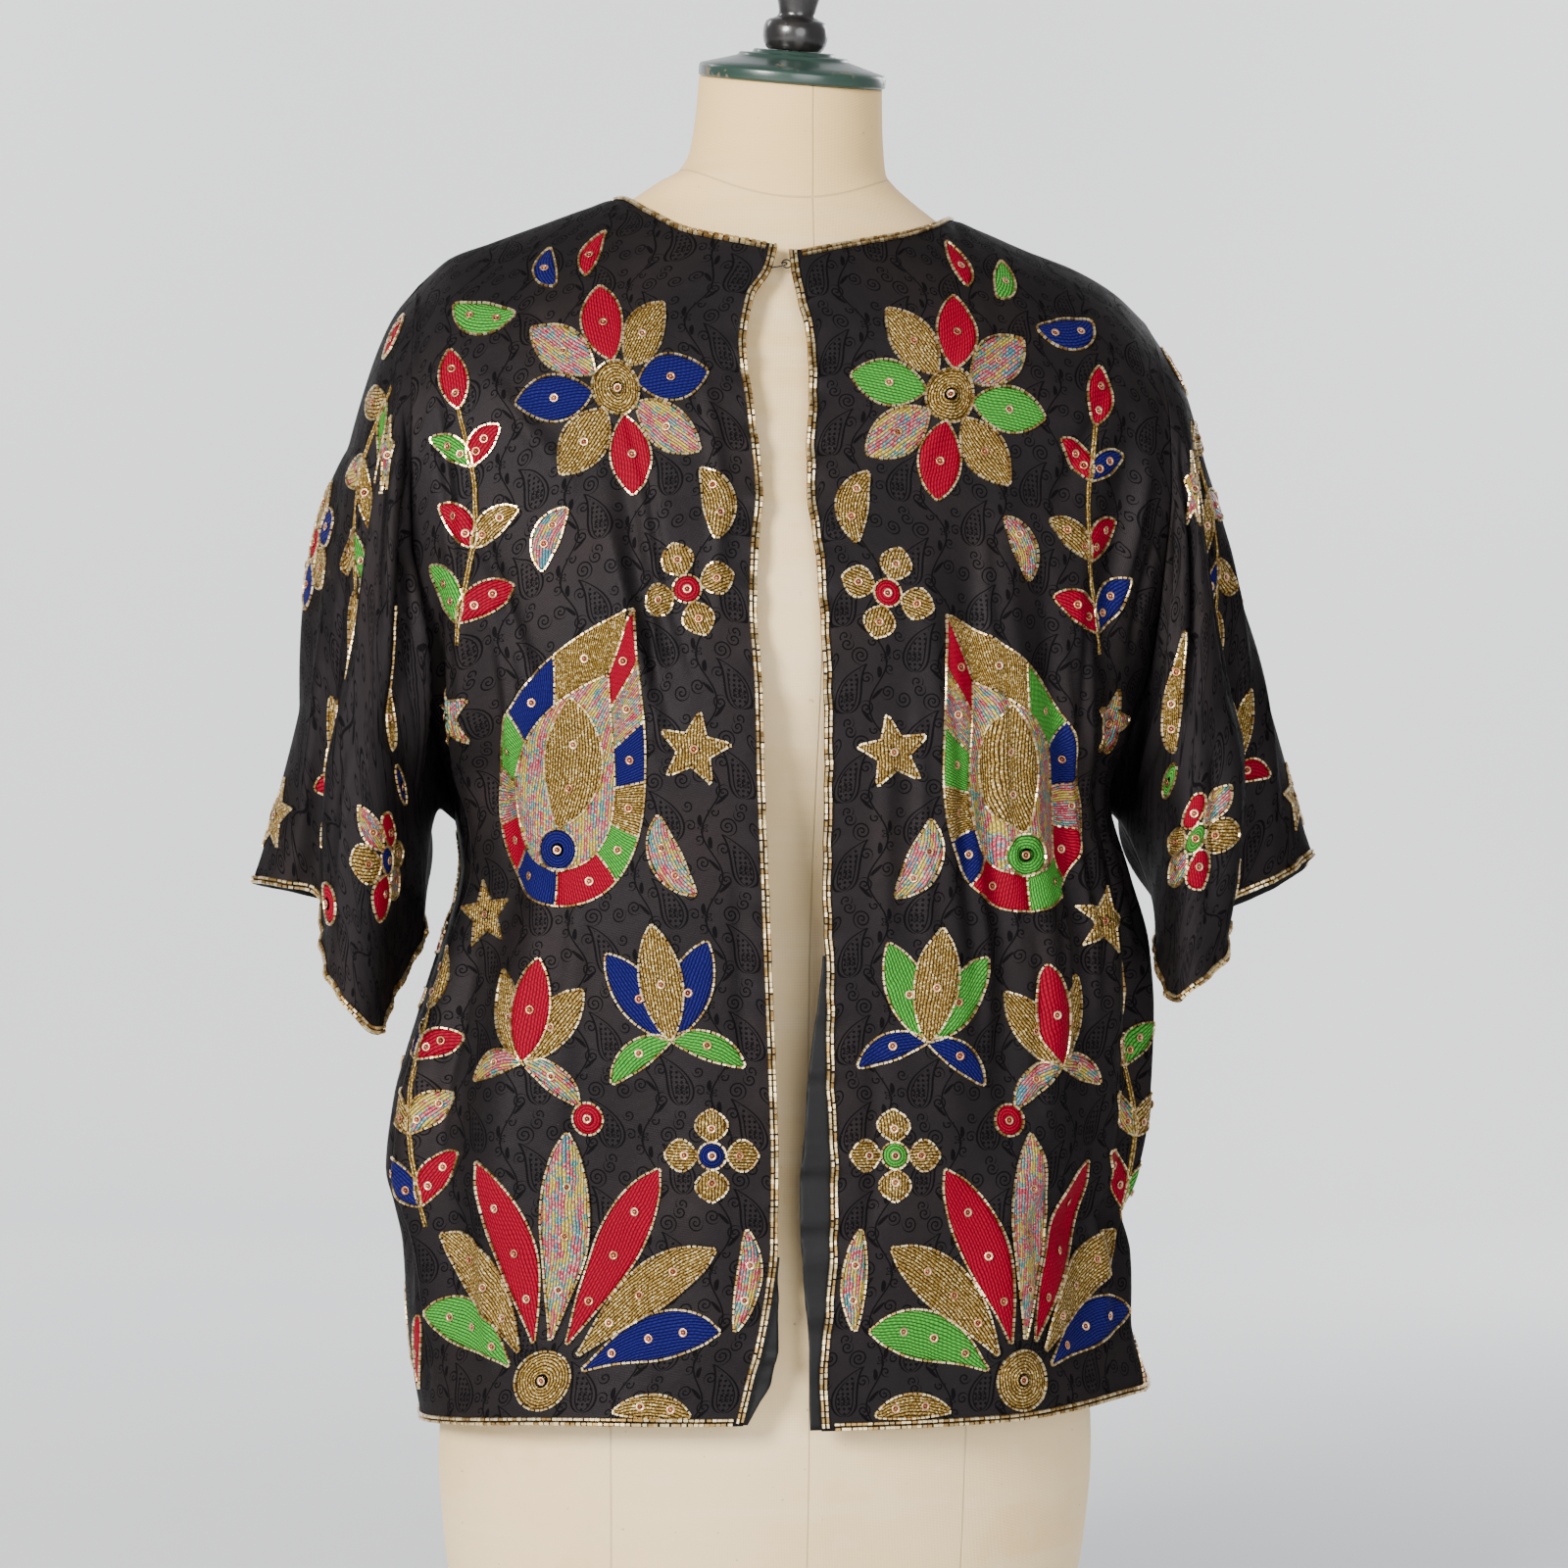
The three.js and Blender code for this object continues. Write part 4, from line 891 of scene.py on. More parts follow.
# half widths, depths and the section's power, by height
formSizes = table("z right left front back power", [
    [60, 176, 176, 112, 113, 2], [100, 183, 183, 116, 118, 2], [150, 187, 187, 118, 122, 2],
    [200, 184, 184, 116, 123, 2], [260, 170, 170, 110, 117, 2], [330, 141, 141, 98, 103, 2],
    [390, 122, 122, 91, 91, 2], [430, 120, 120, 91, 88, 2], [480, 127, 127, 97, 90, 2],
    [530, 137, 137, 109, 94, 2], [580, 145, 145, 122, 98, 2], [610, 148, 148, 127, 101, 2],
    [650, 151, 151, 121, 105, 2], [700, 158, 158, 108, 105, 2], [740, 168, 168, 97, 99, 2],
    [770, 179, 178, 88, 91, 2], [800, 189, 187, 78, 79, 1.75], [815, 184, 179, 73, 71, 1.6],
    [824, 174, 164, 70, 66, 1.5], [831, 159, 147, 68, 62, 1.5], [838, 142, 129, 66, 58, 1.5],
    [844, 127, 111, 65, 55, 1.55], [850, 109, 94, 63, 52, 1.6], [857, 93.5, 83, 60.5, 49, 1.7],
    [864, 83, 73, 60, 47, 1.8], [871, 73, 64, 60, 45, 1.9], [878, 61, 58, 59, 44, 2],
    [890, 54.5, 56.5, 58, 44, 2], [908, 51.5, 55.5, 56, 45, 2], [930, 49.5, 55, 56, 46, 2],
])
formPlan = {  # heights in mm, slants of the neck top in degrees, its middle, and the torso's cells
    "foot": 60, "shoulder": 790, "neckFoot": 878, "neckTop": 930, "neckTilt": 11.4, "neckLean": 2.4,
    "neckX": 2.75, "neckY": -5, "sides": 104, "lowRings": 60, "highRings": 54,
}


def torsoPiece():
    # x = half width * cos^(2/p), y = depth * sin^(2/p), raised towards the slanting neck top
    low = np.linspace(formPlan["foot"], formPlan["shoulder"], formPlan["lowRings"])
    high = np.linspace(formPlan["shoulder"] + 3, formPlan["neckTop"], formPlan["highRings"])
    angle = np.linspace(0, 2 * np.pi, formPlan["sides"], endpoint=False)
    z, angle = np.meshgrid(np.concatenate([low, high]), angle, indexing="ij")
    c, s = np.cos(angle), np.sin(angle)
    power = 2 / formSizes("power", z)
    x = np.where(c < 0, formSizes("right", z), formSizes("left", z)) * np.sign(c) * np.abs(c) ** power
    y = np.where(s < 0, formSizes("front", z), formSizes("back", z)) * np.sign(s) * np.abs(s) ** power
    slant = smoothstep(z, formPlan["neckFoot"], formPlan["neckTop"])
    tilt = (y - formPlan["neckY"]) * math.tan(math.radians(formPlan["neckTilt"]))
    lean = (x - formPlan["neckX"]) * math.tan(math.radians(formPlan["neckLean"]))
    points = np.stack([x, y, z + (tilt - lean) * slant], axis=-1)
    rings, sides = z.shape
    quads = gridQuads(sides, rings, 1, aroundColumns=True)
    grid = points.transpose(1, 0, 2).reshape(-1, 3)
    middles = np.stack([points[0].mean(axis=0), points[-1].mean(axis=0)])
    points = np.concatenate([grid, middles])
    return makeMesh("torso_cover", points, quads, [canvasLook()], endFans(sides, rings))


canvasPlan = {
    "clean": (0.93, 0.70, 0.39), "aged": (0.80, 0.55, 0.25), "patch": (0.93, 0.76, 0.50),
    "streak": (0.94, 0.77, 0.51), "neck": (0.88, 0.58, 0.23), "speck": (0.30, 0.20, 0.10),
    "seam": (0.36, 0.27, 0.15), "threads": 1.2,  # threads for each millimetre
}


def canvasLook():
    finish = Finish("formCanvas", {"Specular IOR Level": 0.25, "Sheen Weight": 0.08})
    place = finish.objectPlace()
    x, y, z = finish.parts(place)
    front = (-y - 5).step(0, 8)
    seams = [
        (x - 9).near(0.5, 0.5) * front,
        (abs(x) - 98 - (z - 180) * 0.02).near(0.5, 0.5) * front * (480 - z).step(0, 4),
        (abs(x) - 78 + (z - 400) * 0.03).near(0.5, 0.5) * (y - 5).step(0, 8) * (780 - z).step(0, 4),
        (z - 857 - ((x / 60) ** 2) * 19 - (y + 20).step(0, 60) * 12).near(0.55, 0.5),
    ]
    line = seams[0]
    for seam in seams[1:]:
        line = line.larger(seam)
    threads = canvasPlan["threads"]
    threadWay = ((x * threads) * 2 * math.pi).math("SINE") + ((z * threads) * 2 * math.pi).math("SINE")
    stain = finish.noise(place, 7, 4, 0.6)
    patchy = finish.noise(place, 28, 3, 0.6)
    specks = finish.noise(place, 260, 2, 0.5).step(0.73, 0.78)
    streaks = finish.noise(finish.joined(x * 0.004, y * 0.004, z * 0.09), 1, 3, 0.6)
    shade = finish.mixed(stain.step(0.35, 0.72), canvasPlan["clean"], canvasPlan["aged"])
    shade = finish.mixed(patchy.step(0.5, 0.75) * 0.4, shade, canvasPlan["patch"])
    shade = finish.mixed(streaks.step(0.45, 0.7) * 0.3, shade, canvasPlan["streak"])
    shade = finish.mixed((z - 800).step(0, 90) * 0.85, shade, canvasPlan["neck"])
    shade = finish.mixed(specks * 0.5, shade, canvasPlan["speck"])
    finish.colour(finish.mixed(line * 0.45, shade, canvasPlan["seam"]))
    finish.rough(0.72 + patchy * 0.2)
    finish.bump(threadWay * 0.12 - line * 1.3 + stain * 0.5, 0.5, 0.0006)
    return finish.material


torso = torsoPiece()
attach(torso, "root")
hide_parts("form_torso")
print("form torso made")

# turned pieces: profile rows are radius, height
capPlan = {"sides": 96, "profile": [
    [0, 0], [51.8, 0], [53.2, 0.5], [53.5, 1.6], [53.5, 5.6], [53.2, 6.8], [52.2, 7.6], [45, 9.6],
    [38, 11.6], [32.4, 13.2], [31.6, 13.7], [31.3, 14.6], [30.6, 15.2], [24.2, 15.5], [23.5, 16],
    [23.3, 16.9], [22.6, 17.5], [0, 17.5],
]}
finialPlan = {"sides": 64, "profile": [
    [0, 0], [15, 0], [16.4, 1.2], [17.8, 4], [18.5, 7], [18.6, 10], [18.3, 13.2], [17.3, 15.6],
    [15.5, 17], [13, 17.8], [11.3, 18.7], [10.5, 20], [10.5, 22], [11.1, 25], [12.6, 31], [14.3, 36],
    [15.8, 40.5], [16.8, 45], [16.9, 49], [16.2, 53], [14.3, 57], [11, 60.6], [6.5, 63], [0, 64],
]}
footPlan = {"sides": 96, "profile": [
    [0, 0], [145, 0], [148.6, 1.2], [150, 4], [150, 13], [149.2, 16], [147, 18.6], [143, 20],
    [120, 20.6], [90, 22.4], [60, 24.6], [48, 26.6], [39, 30], [34.6, 34.4], [32, 39], [30.4, 44],
    [30.4, 48], [32, 52], [36, 56], [42, 59], [44, 59.7], [0, 59.7],
]}


def turnedPiece(name, plan, material, onNeckHeight=None):
    # a turned shape, stood on the slanting neck top where it has a height there
    points, quads, triangles = turnedShape(plan["profile"], plan["sides"])
    if onNeckHeight is not None:
        lean, tilt = math.radians(formPlan["neckLean"]), math.radians(formPlan["neckTilt"])
        turn = Matrix.Rotation(lean, 3, "Y") @ Matrix.Rotation(tilt, 3, "X")
        points = (points + [0, 0, onNeckHeight]) @ np.array(turn).T
        points += [formPlan["neckX"], formPlan["neckY"], formPlan["neckTop"]]
    return makeMesh(name, points, quads, [material], triangles)


paintPlan = {"dark": (0.010, 0.030, 0.021), "light": (0.020, 0.052, 0.036), "bare": (0.16, 0.115, 0.06)}


def paintLook():
    finish = Finish("greenPaint", {"Coat Weight": 0.35, "Coat Roughness": 0.2, "Specular IOR Level": 0.55})
    place = finish.objectPlace()
    chips = finish.noise(place, 60, 4, 0.65)
    streak = finish.noise(place, 18, 3, 0.55)
    shade = finish.mixed(streak.step(0.3, 0.7), paintPlan["dark"], paintPlan["light"])
    worn = chips.step(0.60, 0.66)
    finish.colour(finish.mixed(worn * 0.85, shade, paintPlan["bare"]))
    finish.rough(0.24 + streak * 0.2 + worn * 0.3)
    finish.bump(chips * 0.5 - worn * 0.8, 0.5, 0.0008)
    return finish.material


def woodLook(name, dark, light):
    finish = Finish(name, {"Coat Weight": 0.5, "Coat Roughness": 0.14})
    place = finish.objectPlace()
    x, y, z = finish.parts(place)
    grain = finish.noise(finish.joined(x * 0.05, y * 0.05, z * 0.004), 4, 5, 0.6)
    scuffs = finish.noise(place, 90, 3, 0.7)
    shade = finish.mixed(grain.step(0.35, 0.7), dark, light)
    scuffed = tuple(3.2 * value + 0.02 for value in light)
    finish.colour(finish.mixed(scuffs.step(0.66, 0.72) * 0.7, shade, scuffed))
    finish.rough(0.22 + grain * 0.2 + scuffs.step(0.62, 0.72) * 0.3)
    finish.bump(grain * 0.5 + scuffs * 0.4, 0.35, 0.0006)
    return finish.material


blackWood = woodLook("blackWood", (0.006, 0.005, 0.005), (0.017, 0.013, 0.011))
turnedPlan = [  # name, profile, look, height on the neck top, node, slot
    ("cap_top", capPlan, paintLook(), 0.3, "form_cap", "green_paint"),
    ("finial_top", finialPlan, blackWood, 18.1, "form_finial", "wood"),
    ("foot_base", footPlan, blackWood, None, "form_foot", "wood"),
]
for name, plan, material, height, node, slotName in turnedPlan:
    piece = turnedPiece(name, plan, material, height)
    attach(piece, "root")
    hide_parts(node)
print("form cap, finial and foot made")


def wireLook():
    finish = Finish("blackWire", {"Metallic": 0.6})
    place = finish.objectPlace()
    rubbed = finish.noise(place, 300, 3)
    finish.colour(finish.mixed(rubbed.step(0.4, 0.7), (0.01, 0.01, 0.011), (0.05, 0.048, 0.045)))
    finish.rough(0.28 + rubbed * 0.25)
    finish.bump(rubbed, 0.2, 0.0002)
    return finish.material


hookMetal = wireLook()
for node in ("neck_hook", "neck_eye"):
    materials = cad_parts[node].data.materials
    materials.clear()
    materials.append(hookMetal)

# Embroidered patches. Flat places on a cloth are (a, b): a out from the front edge (or the back's middle,
# or the sleeve's outer fold towards the front), b the height (on a sleeve, the distance from the armhole).
# each thread has a shaded tone and a lit tone: the stitch relief and glints pick between them, which paints
# shade in the grooves and light on the crowns; the strands' own tone varies too
threadColours = {
    "crimson": ((0.11, 0.0, 0.005), (0.30, 0.0, 0.017)),
    "green": ((0.008, 0.085, 0.008), (0.080, 0.37, 0.048)),
    "blue": ((0.002, 0.002, 0.024), (0.010, 0.0095, 0.125)),
    "gold": ((0.024, 0.011, 0.002), (0.37, 0.215, 0.034)),
    "lurex": ((0.045, 0.025, 0.035), (0.48, 0.36, 0.30)),
}
stitchPlan = {  # rows and loops of the stitch, height of the domes, cells of their grids, mm
    "row": 1.7, "loop": 2.7, "lift": 0.85, "rim": 0.3, "sink": -0.3,
    "step": 2.55, "across": 2.7, "ring": 3.2,
}
outlineBeads = {"radius": 0.8, "length": 2.15, "pitch": 2.65}
edgingBeads = {"radius": 1.02, "length": 2.6, "pitch": 3.0}
beadPlan = {  # places in mm; the uneven spacing, lengths and radii as shares
    "outside": 0.75, "edgeRows": (1.1, 3.5), "seat": 0.8,
    "wobble": 0.12, "lengths": (0.88, 1.04), "radii": (0.9, 1.08),
}
sequinClear = 0.15  # mm over the stitching
patches = {colour: [] for colour in threadColours}
beadRows = {}
sequins = []


def pathLength(points):
    # running length along a row of points, from 0
    return np.concatenate([[0], np.cumsum(np.linalg.norm(np.diff(points, axis=0), axis=1))])


def curveThrough(knots, steps):
    # smooth curve through knots, slopes from their neighbours
    knots = np.array(knots, float)
    places = np.linspace(0, 1, len(knots))
    straight = np.repeat(knots[1:] - knots[:1], 2, axis=0)
    slopes = np.gradient(knots, places, axis=0) if len(knots) > 2 else straight
    return readCurve(places, knots, slopes, np.linspace(0, 1, steps))


def turnedFlat(points, a, b, angle):
    # local x, y turned clockwise by angle (0 points up) and moved to (a, b)
    c, s = math.cos(math.radians(angle)), math.sin(math.radians(angle))
    x, y = points[..., 0], points[..., 1]
    return np.stack([a + x * c + y * s, b - x * s + y * c], axis=-1)


def addBeads(group, cloth, path, closed=False, raised=0.0):
    # beads at equal distances along a flat path, each lying along it on the cloth
    if closed:
        path = np.concatenate([path, path[:1]])
    u, v = cloth.find(path[:, 0], path[:, 1])
    addBeadsAlong(group, cloth, u, v, lift=raised, **outlineBeads)


def addBeadsAlong(group, cloth, u, v, radius, length, pitch, lift=0.0):
    points = cloth.on(u, v)[0]
    run = pathLength(points)
    count = max(int(run[-1] / pitch), 2)
    spots = (np.arange(count) + 0.5) / count * run[-1]
    wobble = randomTone.uniform(-beadPlan["wobble"], beadPlan["wobble"], count) * pitch
    u, v = [np.interp(spots + wobble, run, values) for values in (u, v)]
    centre, normal = cloth.on(u, v, radius * beadPlan["seat"] + lift)
    ahead, behind = [
        np.stack([np.interp(spots + step, run, points[:, k]) for k in range(3)], axis=1)
        for step in (pitch * 0.3, -pitch * 0.3)
    ]
    tangent = ahead - behind
    tangent -= normal * np.sum(tangent * normal, axis=1, keepdims=True)
    tangent /= np.linalg.norm(tangent, axis=1, keepdims=True)
    long = length * randomTone.uniform(*beadPlan["lengths"], count)
    size = np.stack([long, radius * randomTone.uniform(*beadPlan["radii"], count)], axis=1)
    beadRows.setdefault(group, []).append((centre, tangent, normal, size))


def addSequin(cloth, a, b, raised=0.0):
    u, v = cloth.find(np.array([a], float), np.array([b], float))
    sequins.append(cloth.on(u, v, np.array([stitchPlan["lift"] + sequinClear + raised])))


def addPatch(cloth, grid, colour, along, across, raised=0.0):
    # grid (columns, rows, 2) of flat places; a low dome closed by an underside inside the cloth
    columns, rows = grid.shape[:2]
    u, v = cloth.find(grid[..., 0], grid[..., 1])
    w = np.linspace(-1, 1, rows)[None, :]
    t = np.linspace(-1, 1, columns)[:, None]
    dome = stitchPlan["rim"] + (stitchPlan["lift"] - stitchPlan["rim"]) * (1 - w**6) * (1 - t**14)
    top = cloth.on(u, v, dome + raised)[0]
    under = cloth.on(u, v, np.full(dome.shape, stitchPlan["sink"] + raised))[0]
    first, second = grid[1:, :-1] - grid[:-1, :-1], grid[:-1, 1:] - grid[:-1, :-1]
    way = np.sign(np.sum(first[..., 0] * second[..., 1] - first[..., 1] * second[..., 0]))
    outer, inner, edges = wallFaces(columns, rows, cloth.outward * way)
    tone = np.full(along.shape, randomTone.uniform(0, 1))
    feature = np.stack([along / 1000, across / 1000, tone], axis=-1).reshape(-1, 3)
    points = np.concatenate([top.reshape(-1, 3), under.reshape(-1, 3)])
    patches[colour].append((points, np.concatenate([outer, inner, edges]), np.tile(feature, (2, 1))))


def addBand(cloth, spine, widths, colour, group, dots=2, beads=True, raised=0.0):
    # a strip of stitching: spine(t) + w * halfWidth(t) * side, w from -1 to 1
    rough = np.array(spine, float)
    length = np.sum(np.linalg.norm(np.diff(rough, axis=0), axis=1))
    steps = max(int(length / stitchPlan["step"]), 6)
    line = curveThrough(spine, steps)
    half = np.maximum(curveThrough([[width] for width in widths], steps)[:, 0], 0.3)
    way = np.gradient(line, axis=0)
    way /= np.linalg.norm(way, axis=1, keepdims=True)
    side = np.stack([-way[:, 1], way[:, 0]], axis=1)
    rows = max(int(max(widths) * 2 / stitchPlan["across"]), 3) + 2
    w = np.linspace(-1, 1, rows)
    grid = line[:, None] + side[:, None] * (half[:, None] * w)[..., None]
    along = np.broadcast_to(pathLength(line)[:, None], grid.shape[:2])
    across = w[None, :] * half[:, None]
    addPatch(cloth, grid, colour, along, across, raised)
    if beads:
        out = half + beadPlan["outside"]
        left, right = line + side * out[:, None], line - side * out[:, None]
        addBeads(group, cloth, np.concatenate([left, right[::-1]]), True, raised)
    for share in (np.arange(dots) + 0.5) / max(dots, 1):
        addSequin(cloth, *line[int((0.12 + 0.76 * share) * (steps - 1))], raised)


def leaf(cloth, group, a, b, angle, length, width, colour, bend=0.12, dots=2, raised=0.0, late=1.0):
    # half width = width / 2 * sin(pi t^late)^0.75 about an arc
    knots = np.array([[bend * length * 4 * t * (1 - t), length * t] for t in np.linspace(0, 1, 5)])
    widths = [width / 2 * math.sin(math.pi * min(t**late, 1)) ** 0.75 for t in np.linspace(0, 1, 13)]
    addBand(cloth, turnedFlat(knots, a, b, angle), widths, colour, group, dots, True, raised)


def radialPatch(cloth, group, a, b, reach, colour, ringStitch=True, raised=0.0):
    # reach = radius at each of the angles; rings from the middle out, then back under it
    sides = len(reach)
    angle = np.linspace(0, 2 * np.pi, sides, endpoint=False)
    rings = max(int(reach.max() / stitchPlan["ring"]), 3)
    share = np.linspace(0, 1, rings + 1)[1:]
    radius = np.outer(reach, share)
    flatX, flatY = radius * np.sin(angle)[:, None], radius * np.cos(angle)[:, None]
    u, v = cloth.find(a + np.outer(reach * np.sin(angle), share), b + np.outer(reach * np.cos(angle), share))
    dome = stitchPlan["rim"] + (stitchPlan["lift"] - stitchPlan["rim"]) * (1 - share**6)
    top = cloth.on(u, v, np.broadcast_to(dome + raised, u.shape))[0]
    under = cloth.on(u, v, np.full(u.shape, stitchPlan["sink"] + raised))[0][:, ::-1]
    middles = np.stack([top[:, 0].mean(axis=0), under[:, -1].mean(axis=0)])
    columns = np.concatenate([top, under], axis=1)
    rows = columns.shape[1]
    quads = gridQuads(sides, rows, cloth.outward, aroundColumns=True)
    triangles = endFans(sides, rows)
    triangles = triangles[:, ::-1] if cloth.outward > 0 else triangles
    turned = np.abs(angle - np.pi)[:, None] * 9 + 0 * radius
    along, across = (turned, radius) if ringStitch else (flatY, flatX)
    tone = np.full(along.shape, randomTone.uniform(0, 1))
    feature = np.stack([along / 1000, across / 1000, tone], axis=-1)
    feature = np.concatenate([feature, feature[:, ::-1]], axis=1).reshape(-1, 3)
    feature = np.concatenate([feature, feature[:1], feature[:1]])
    patches[colour].append((np.concatenate([columns.reshape(-1, 3), middles]), quads, feature, triangles))
    out = reach + outlineBeads["radius"]
    addBeads(group, cloth, np.stack([a + out * np.sin(angle), b + out * np.cos(angle)], axis=1), True, raised)
    addSequin(cloth, a, b, raised)


def star(cloth, group, a, b, size, colour, angle=0, points=5):
    # radius runs in straight lines from each tip to each notch, which is 0.42 of the size from the middle
    turn = np.linspace(0, 2 * np.pi, points * 12, endpoint=False) - math.radians(angle)
    sector = 2 * np.pi / points
    inSector = np.abs((turn + sector / 2) % sector - sector / 2)
    notch = 0.42
    high, wide = notch * math.sin(sector / 2), 1 - notch * math.cos(sector / 2)
    edge = high / (np.sin(inSector) * wide + high * np.cos(inSector))
    radialPatch(cloth, group, a, b, size * edge, colour, ringStitch=False)


def disc(cloth, group, a, b, radius, colour, raised=0.0):
    radialPatch(cloth, group, a, b, np.full(28, radius, float), colour, True, raised)


def flower(cloth, group, a, b, radius, colours, petals, middle, angle=0, width=None, inner=0.26):
    # petals round a disc, each a leaf that starts at its rim
    width = width or 1.7 * math.pi * radius * 0.62 / petals
    for k in range(petals):
        turn = angle + 360 * k / petals
        startA = a + inner * radius * math.sin(math.radians(turn))
        startB = b + inner * radius * math.cos(math.radians(turn))
        colour = colours[k % len(colours)]
        leaf(cloth, group, startA, startB, turn, radius * (1 - inner), width, colour, 0, 1)
    disc(cloth, group, a, b, radius * inner - 1, middle)


def leanOf(step):
    return math.degrees(math.atan2(step[0], step[1]))


# half widths of the stem, where on it the first pair stands, turn and bend of its leaves, loss per pair
sprigPlan = {"steps": 40, "stem": [1.3, 1.6, 1.3], "first": 0.35, "lean": 48, "bend": 0.1, "taper": 0.12}


def sprig(cloth, group, spine, colours, length, width, pairs=3, dots=1):
    # a narrow stem with leaves in pairs along it and one at its tip
    plan, last = sprigPlan, sprigPlan["steps"] - 1
    line = curveThrough(spine, plan["steps"])
    addBand(cloth, spine, plan["stem"], "gold", group, 0, beads=False)
    for k in range(pairs):
        place = int((k + plan["first"]) / pairs * last)
        lean = leanOf(line[min(place + 2, last)] - line[place])
        size = 1 - plan["taper"] * k
        for hand in (-1, 1):
            colour = colours[(2 * k + (hand > 0)) % len(colours)]
            turn, bend = lean + hand * plan["lean"], -plan["bend"] * hand
            leaf(cloth, group, *line[place], turn, length * size, width * size, colour, bend, dots)
    leaf(cloth, group, *line[-1], leanOf(line[-1] - line[-4]), length * 0.9, width, colours[-1], 0, dots)


def paisleyEdge(s, height, width, scale=1.0):
    # s 0 to 1 up the right side, 1 to 2 down the left;
    # half width = 1.3 w sqrt(t) (1 - t) about a line that curls as t cubed
    t = np.where(s < 1, s, 2 - s)
    t = t**1.35
    hand = np.where(s < 1, 1, -1)
    bulb = np.array([0.0, 0.32 * height])
    x = hand * 1.3 * width * np.sqrt(np.maximum(t, 0)) * (1 - t) + 0.42 * width * t**3
    y = height * (t - 0.1 * t**4)
    return bulb + (np.stack([x, y], axis=-1) - bulb) * scale


# share of the whole that each ring's edge has, cells of the grids, and how far the layers stand up
paisleyPlan = {
    "ring": 0.66, "beads": 0.652, "inner": 0.645, "ringRows": 11, "innerCells": (64, 27),
    "ringRaised": 0.1, "innerRaised": 0.15, "coreRaised": 0.9,
}


def paisley(cloth, group, a, b, height, width, angle, ringColours, innerColour, coreColours, mirror=1):
    def placed(points):
        return turnedFlat(points * [mirror, 1], a, b, angle)

    def edge(s, scale=1.0):
        return placed(paisleyEdge(s, height, width, scale))

    plan = paisleyPlan
    cells = len(ringColours)
    steps = max(int(2.2 * height / cells / stitchPlan["step"]), 6)
    w = np.linspace(0, 1, plan["ringRows"])[None, :]
    for k, colour in enumerate(ringColours):
        s = np.linspace(2 * k / cells, 2 * (k + 1) / cells, steps)
        outer, inner = edge(s), edge(s, plan["ring"])
        deep = np.linalg.norm(inner - outer, axis=1)[:, None] * w
        run = np.repeat(pathLength(outer)[:, None], plan["ringRows"], axis=1)
        grid = outer[:, None] + (inner - outer)[:, None] * w.T
        addPatch(cloth, grid, colour, deep, run, plan["ringRaised"])
        addBeads(group, cloth, np.stack([outer[0], inner[0]]))
        addSequin(cloth, *((outer[steps // 2] + inner[steps // 2]) / 2))
    full = np.linspace(0, 2, 120)
    addBeads(group, cloth, edge(full), closed=True)
    addBeads(group, cloth, edge(full, plan["beads"]), closed=True)
    columns, rows = plan["innerCells"]
    half = np.linspace(0.0, 1, columns)
    right, left = edge(half, plan["inner"]), edge(2 - half, plan["inner"])
    w = np.linspace(0, 1, rows)[None, :]
    run = np.repeat(pathLength((left + right) / 2)[:, None], rows, axis=1)
    wide = (w - 0.5) * np.linalg.norm(right - left, axis=1)[:, None]
    grid = left[:, None] + (right - left)[:, None] * w.T
    addPatch(cloth, grid, innerColour, run, wide, plan["innerRaised"])
    low, high = placed(np.array([[0, 0.24 * height], [0.06 * width, 0.62 * height]]))
    long, raised = float(np.linalg.norm(high - low)), plan["coreRaised"]
    leaf(cloth, group, *low, leanOf(high - low), long, 0.34 * width, coreColours[0], 0.08 * mirror, 2, raised)
    disc(cloth, group, *placed(np.array([0, 0.17 * height])), 0.11 * width, coreColours[1], raised)


def tulip(cloth, group, a, b, angle, size, colours):
    # three petals from one foot, with two leaves below them
    for turn, colour, length, raised in ((-30, 0, 0.92, 0), (30, 0, 0.92, 0), (0, 1, 1.0, 1.05)):
        leaf(cloth, group, a, b, angle + turn, size * length, size * 0.36, colours[colour], 0, 1, raised)
    for turn, bend in ((-118, 0.1), (118, -0.1)):
        leaf(cloth, group, a, b, angle + turn, size * 0.66, size * 0.22, colours[2], bend, 1)


def palmette(cloth, group, a, b, size, colours, spread=72, gap=0.17):
    # leaves fanned out from one foot, the middle one longest, every other one on top, a disc at the foot
    for k, turn in enumerate(np.linspace(-spread, spread, len(colours))):
        length = size * (0.68 + 0.32 * math.cos(math.radians(turn)) ** 2) - size * gap
        foot = turnedFlat(np.array([0, size * gap]), a, b, turn)
        bend, raised = -0.1 * turn / spread, 0.9 * (k % 2)
        leaf(cloth, group, *foot, turn, length, size * 0.185, colours[k], bend, 3, raised, 1.35)
    disc(cloth, group, a, b, size * 0.115, "gold")


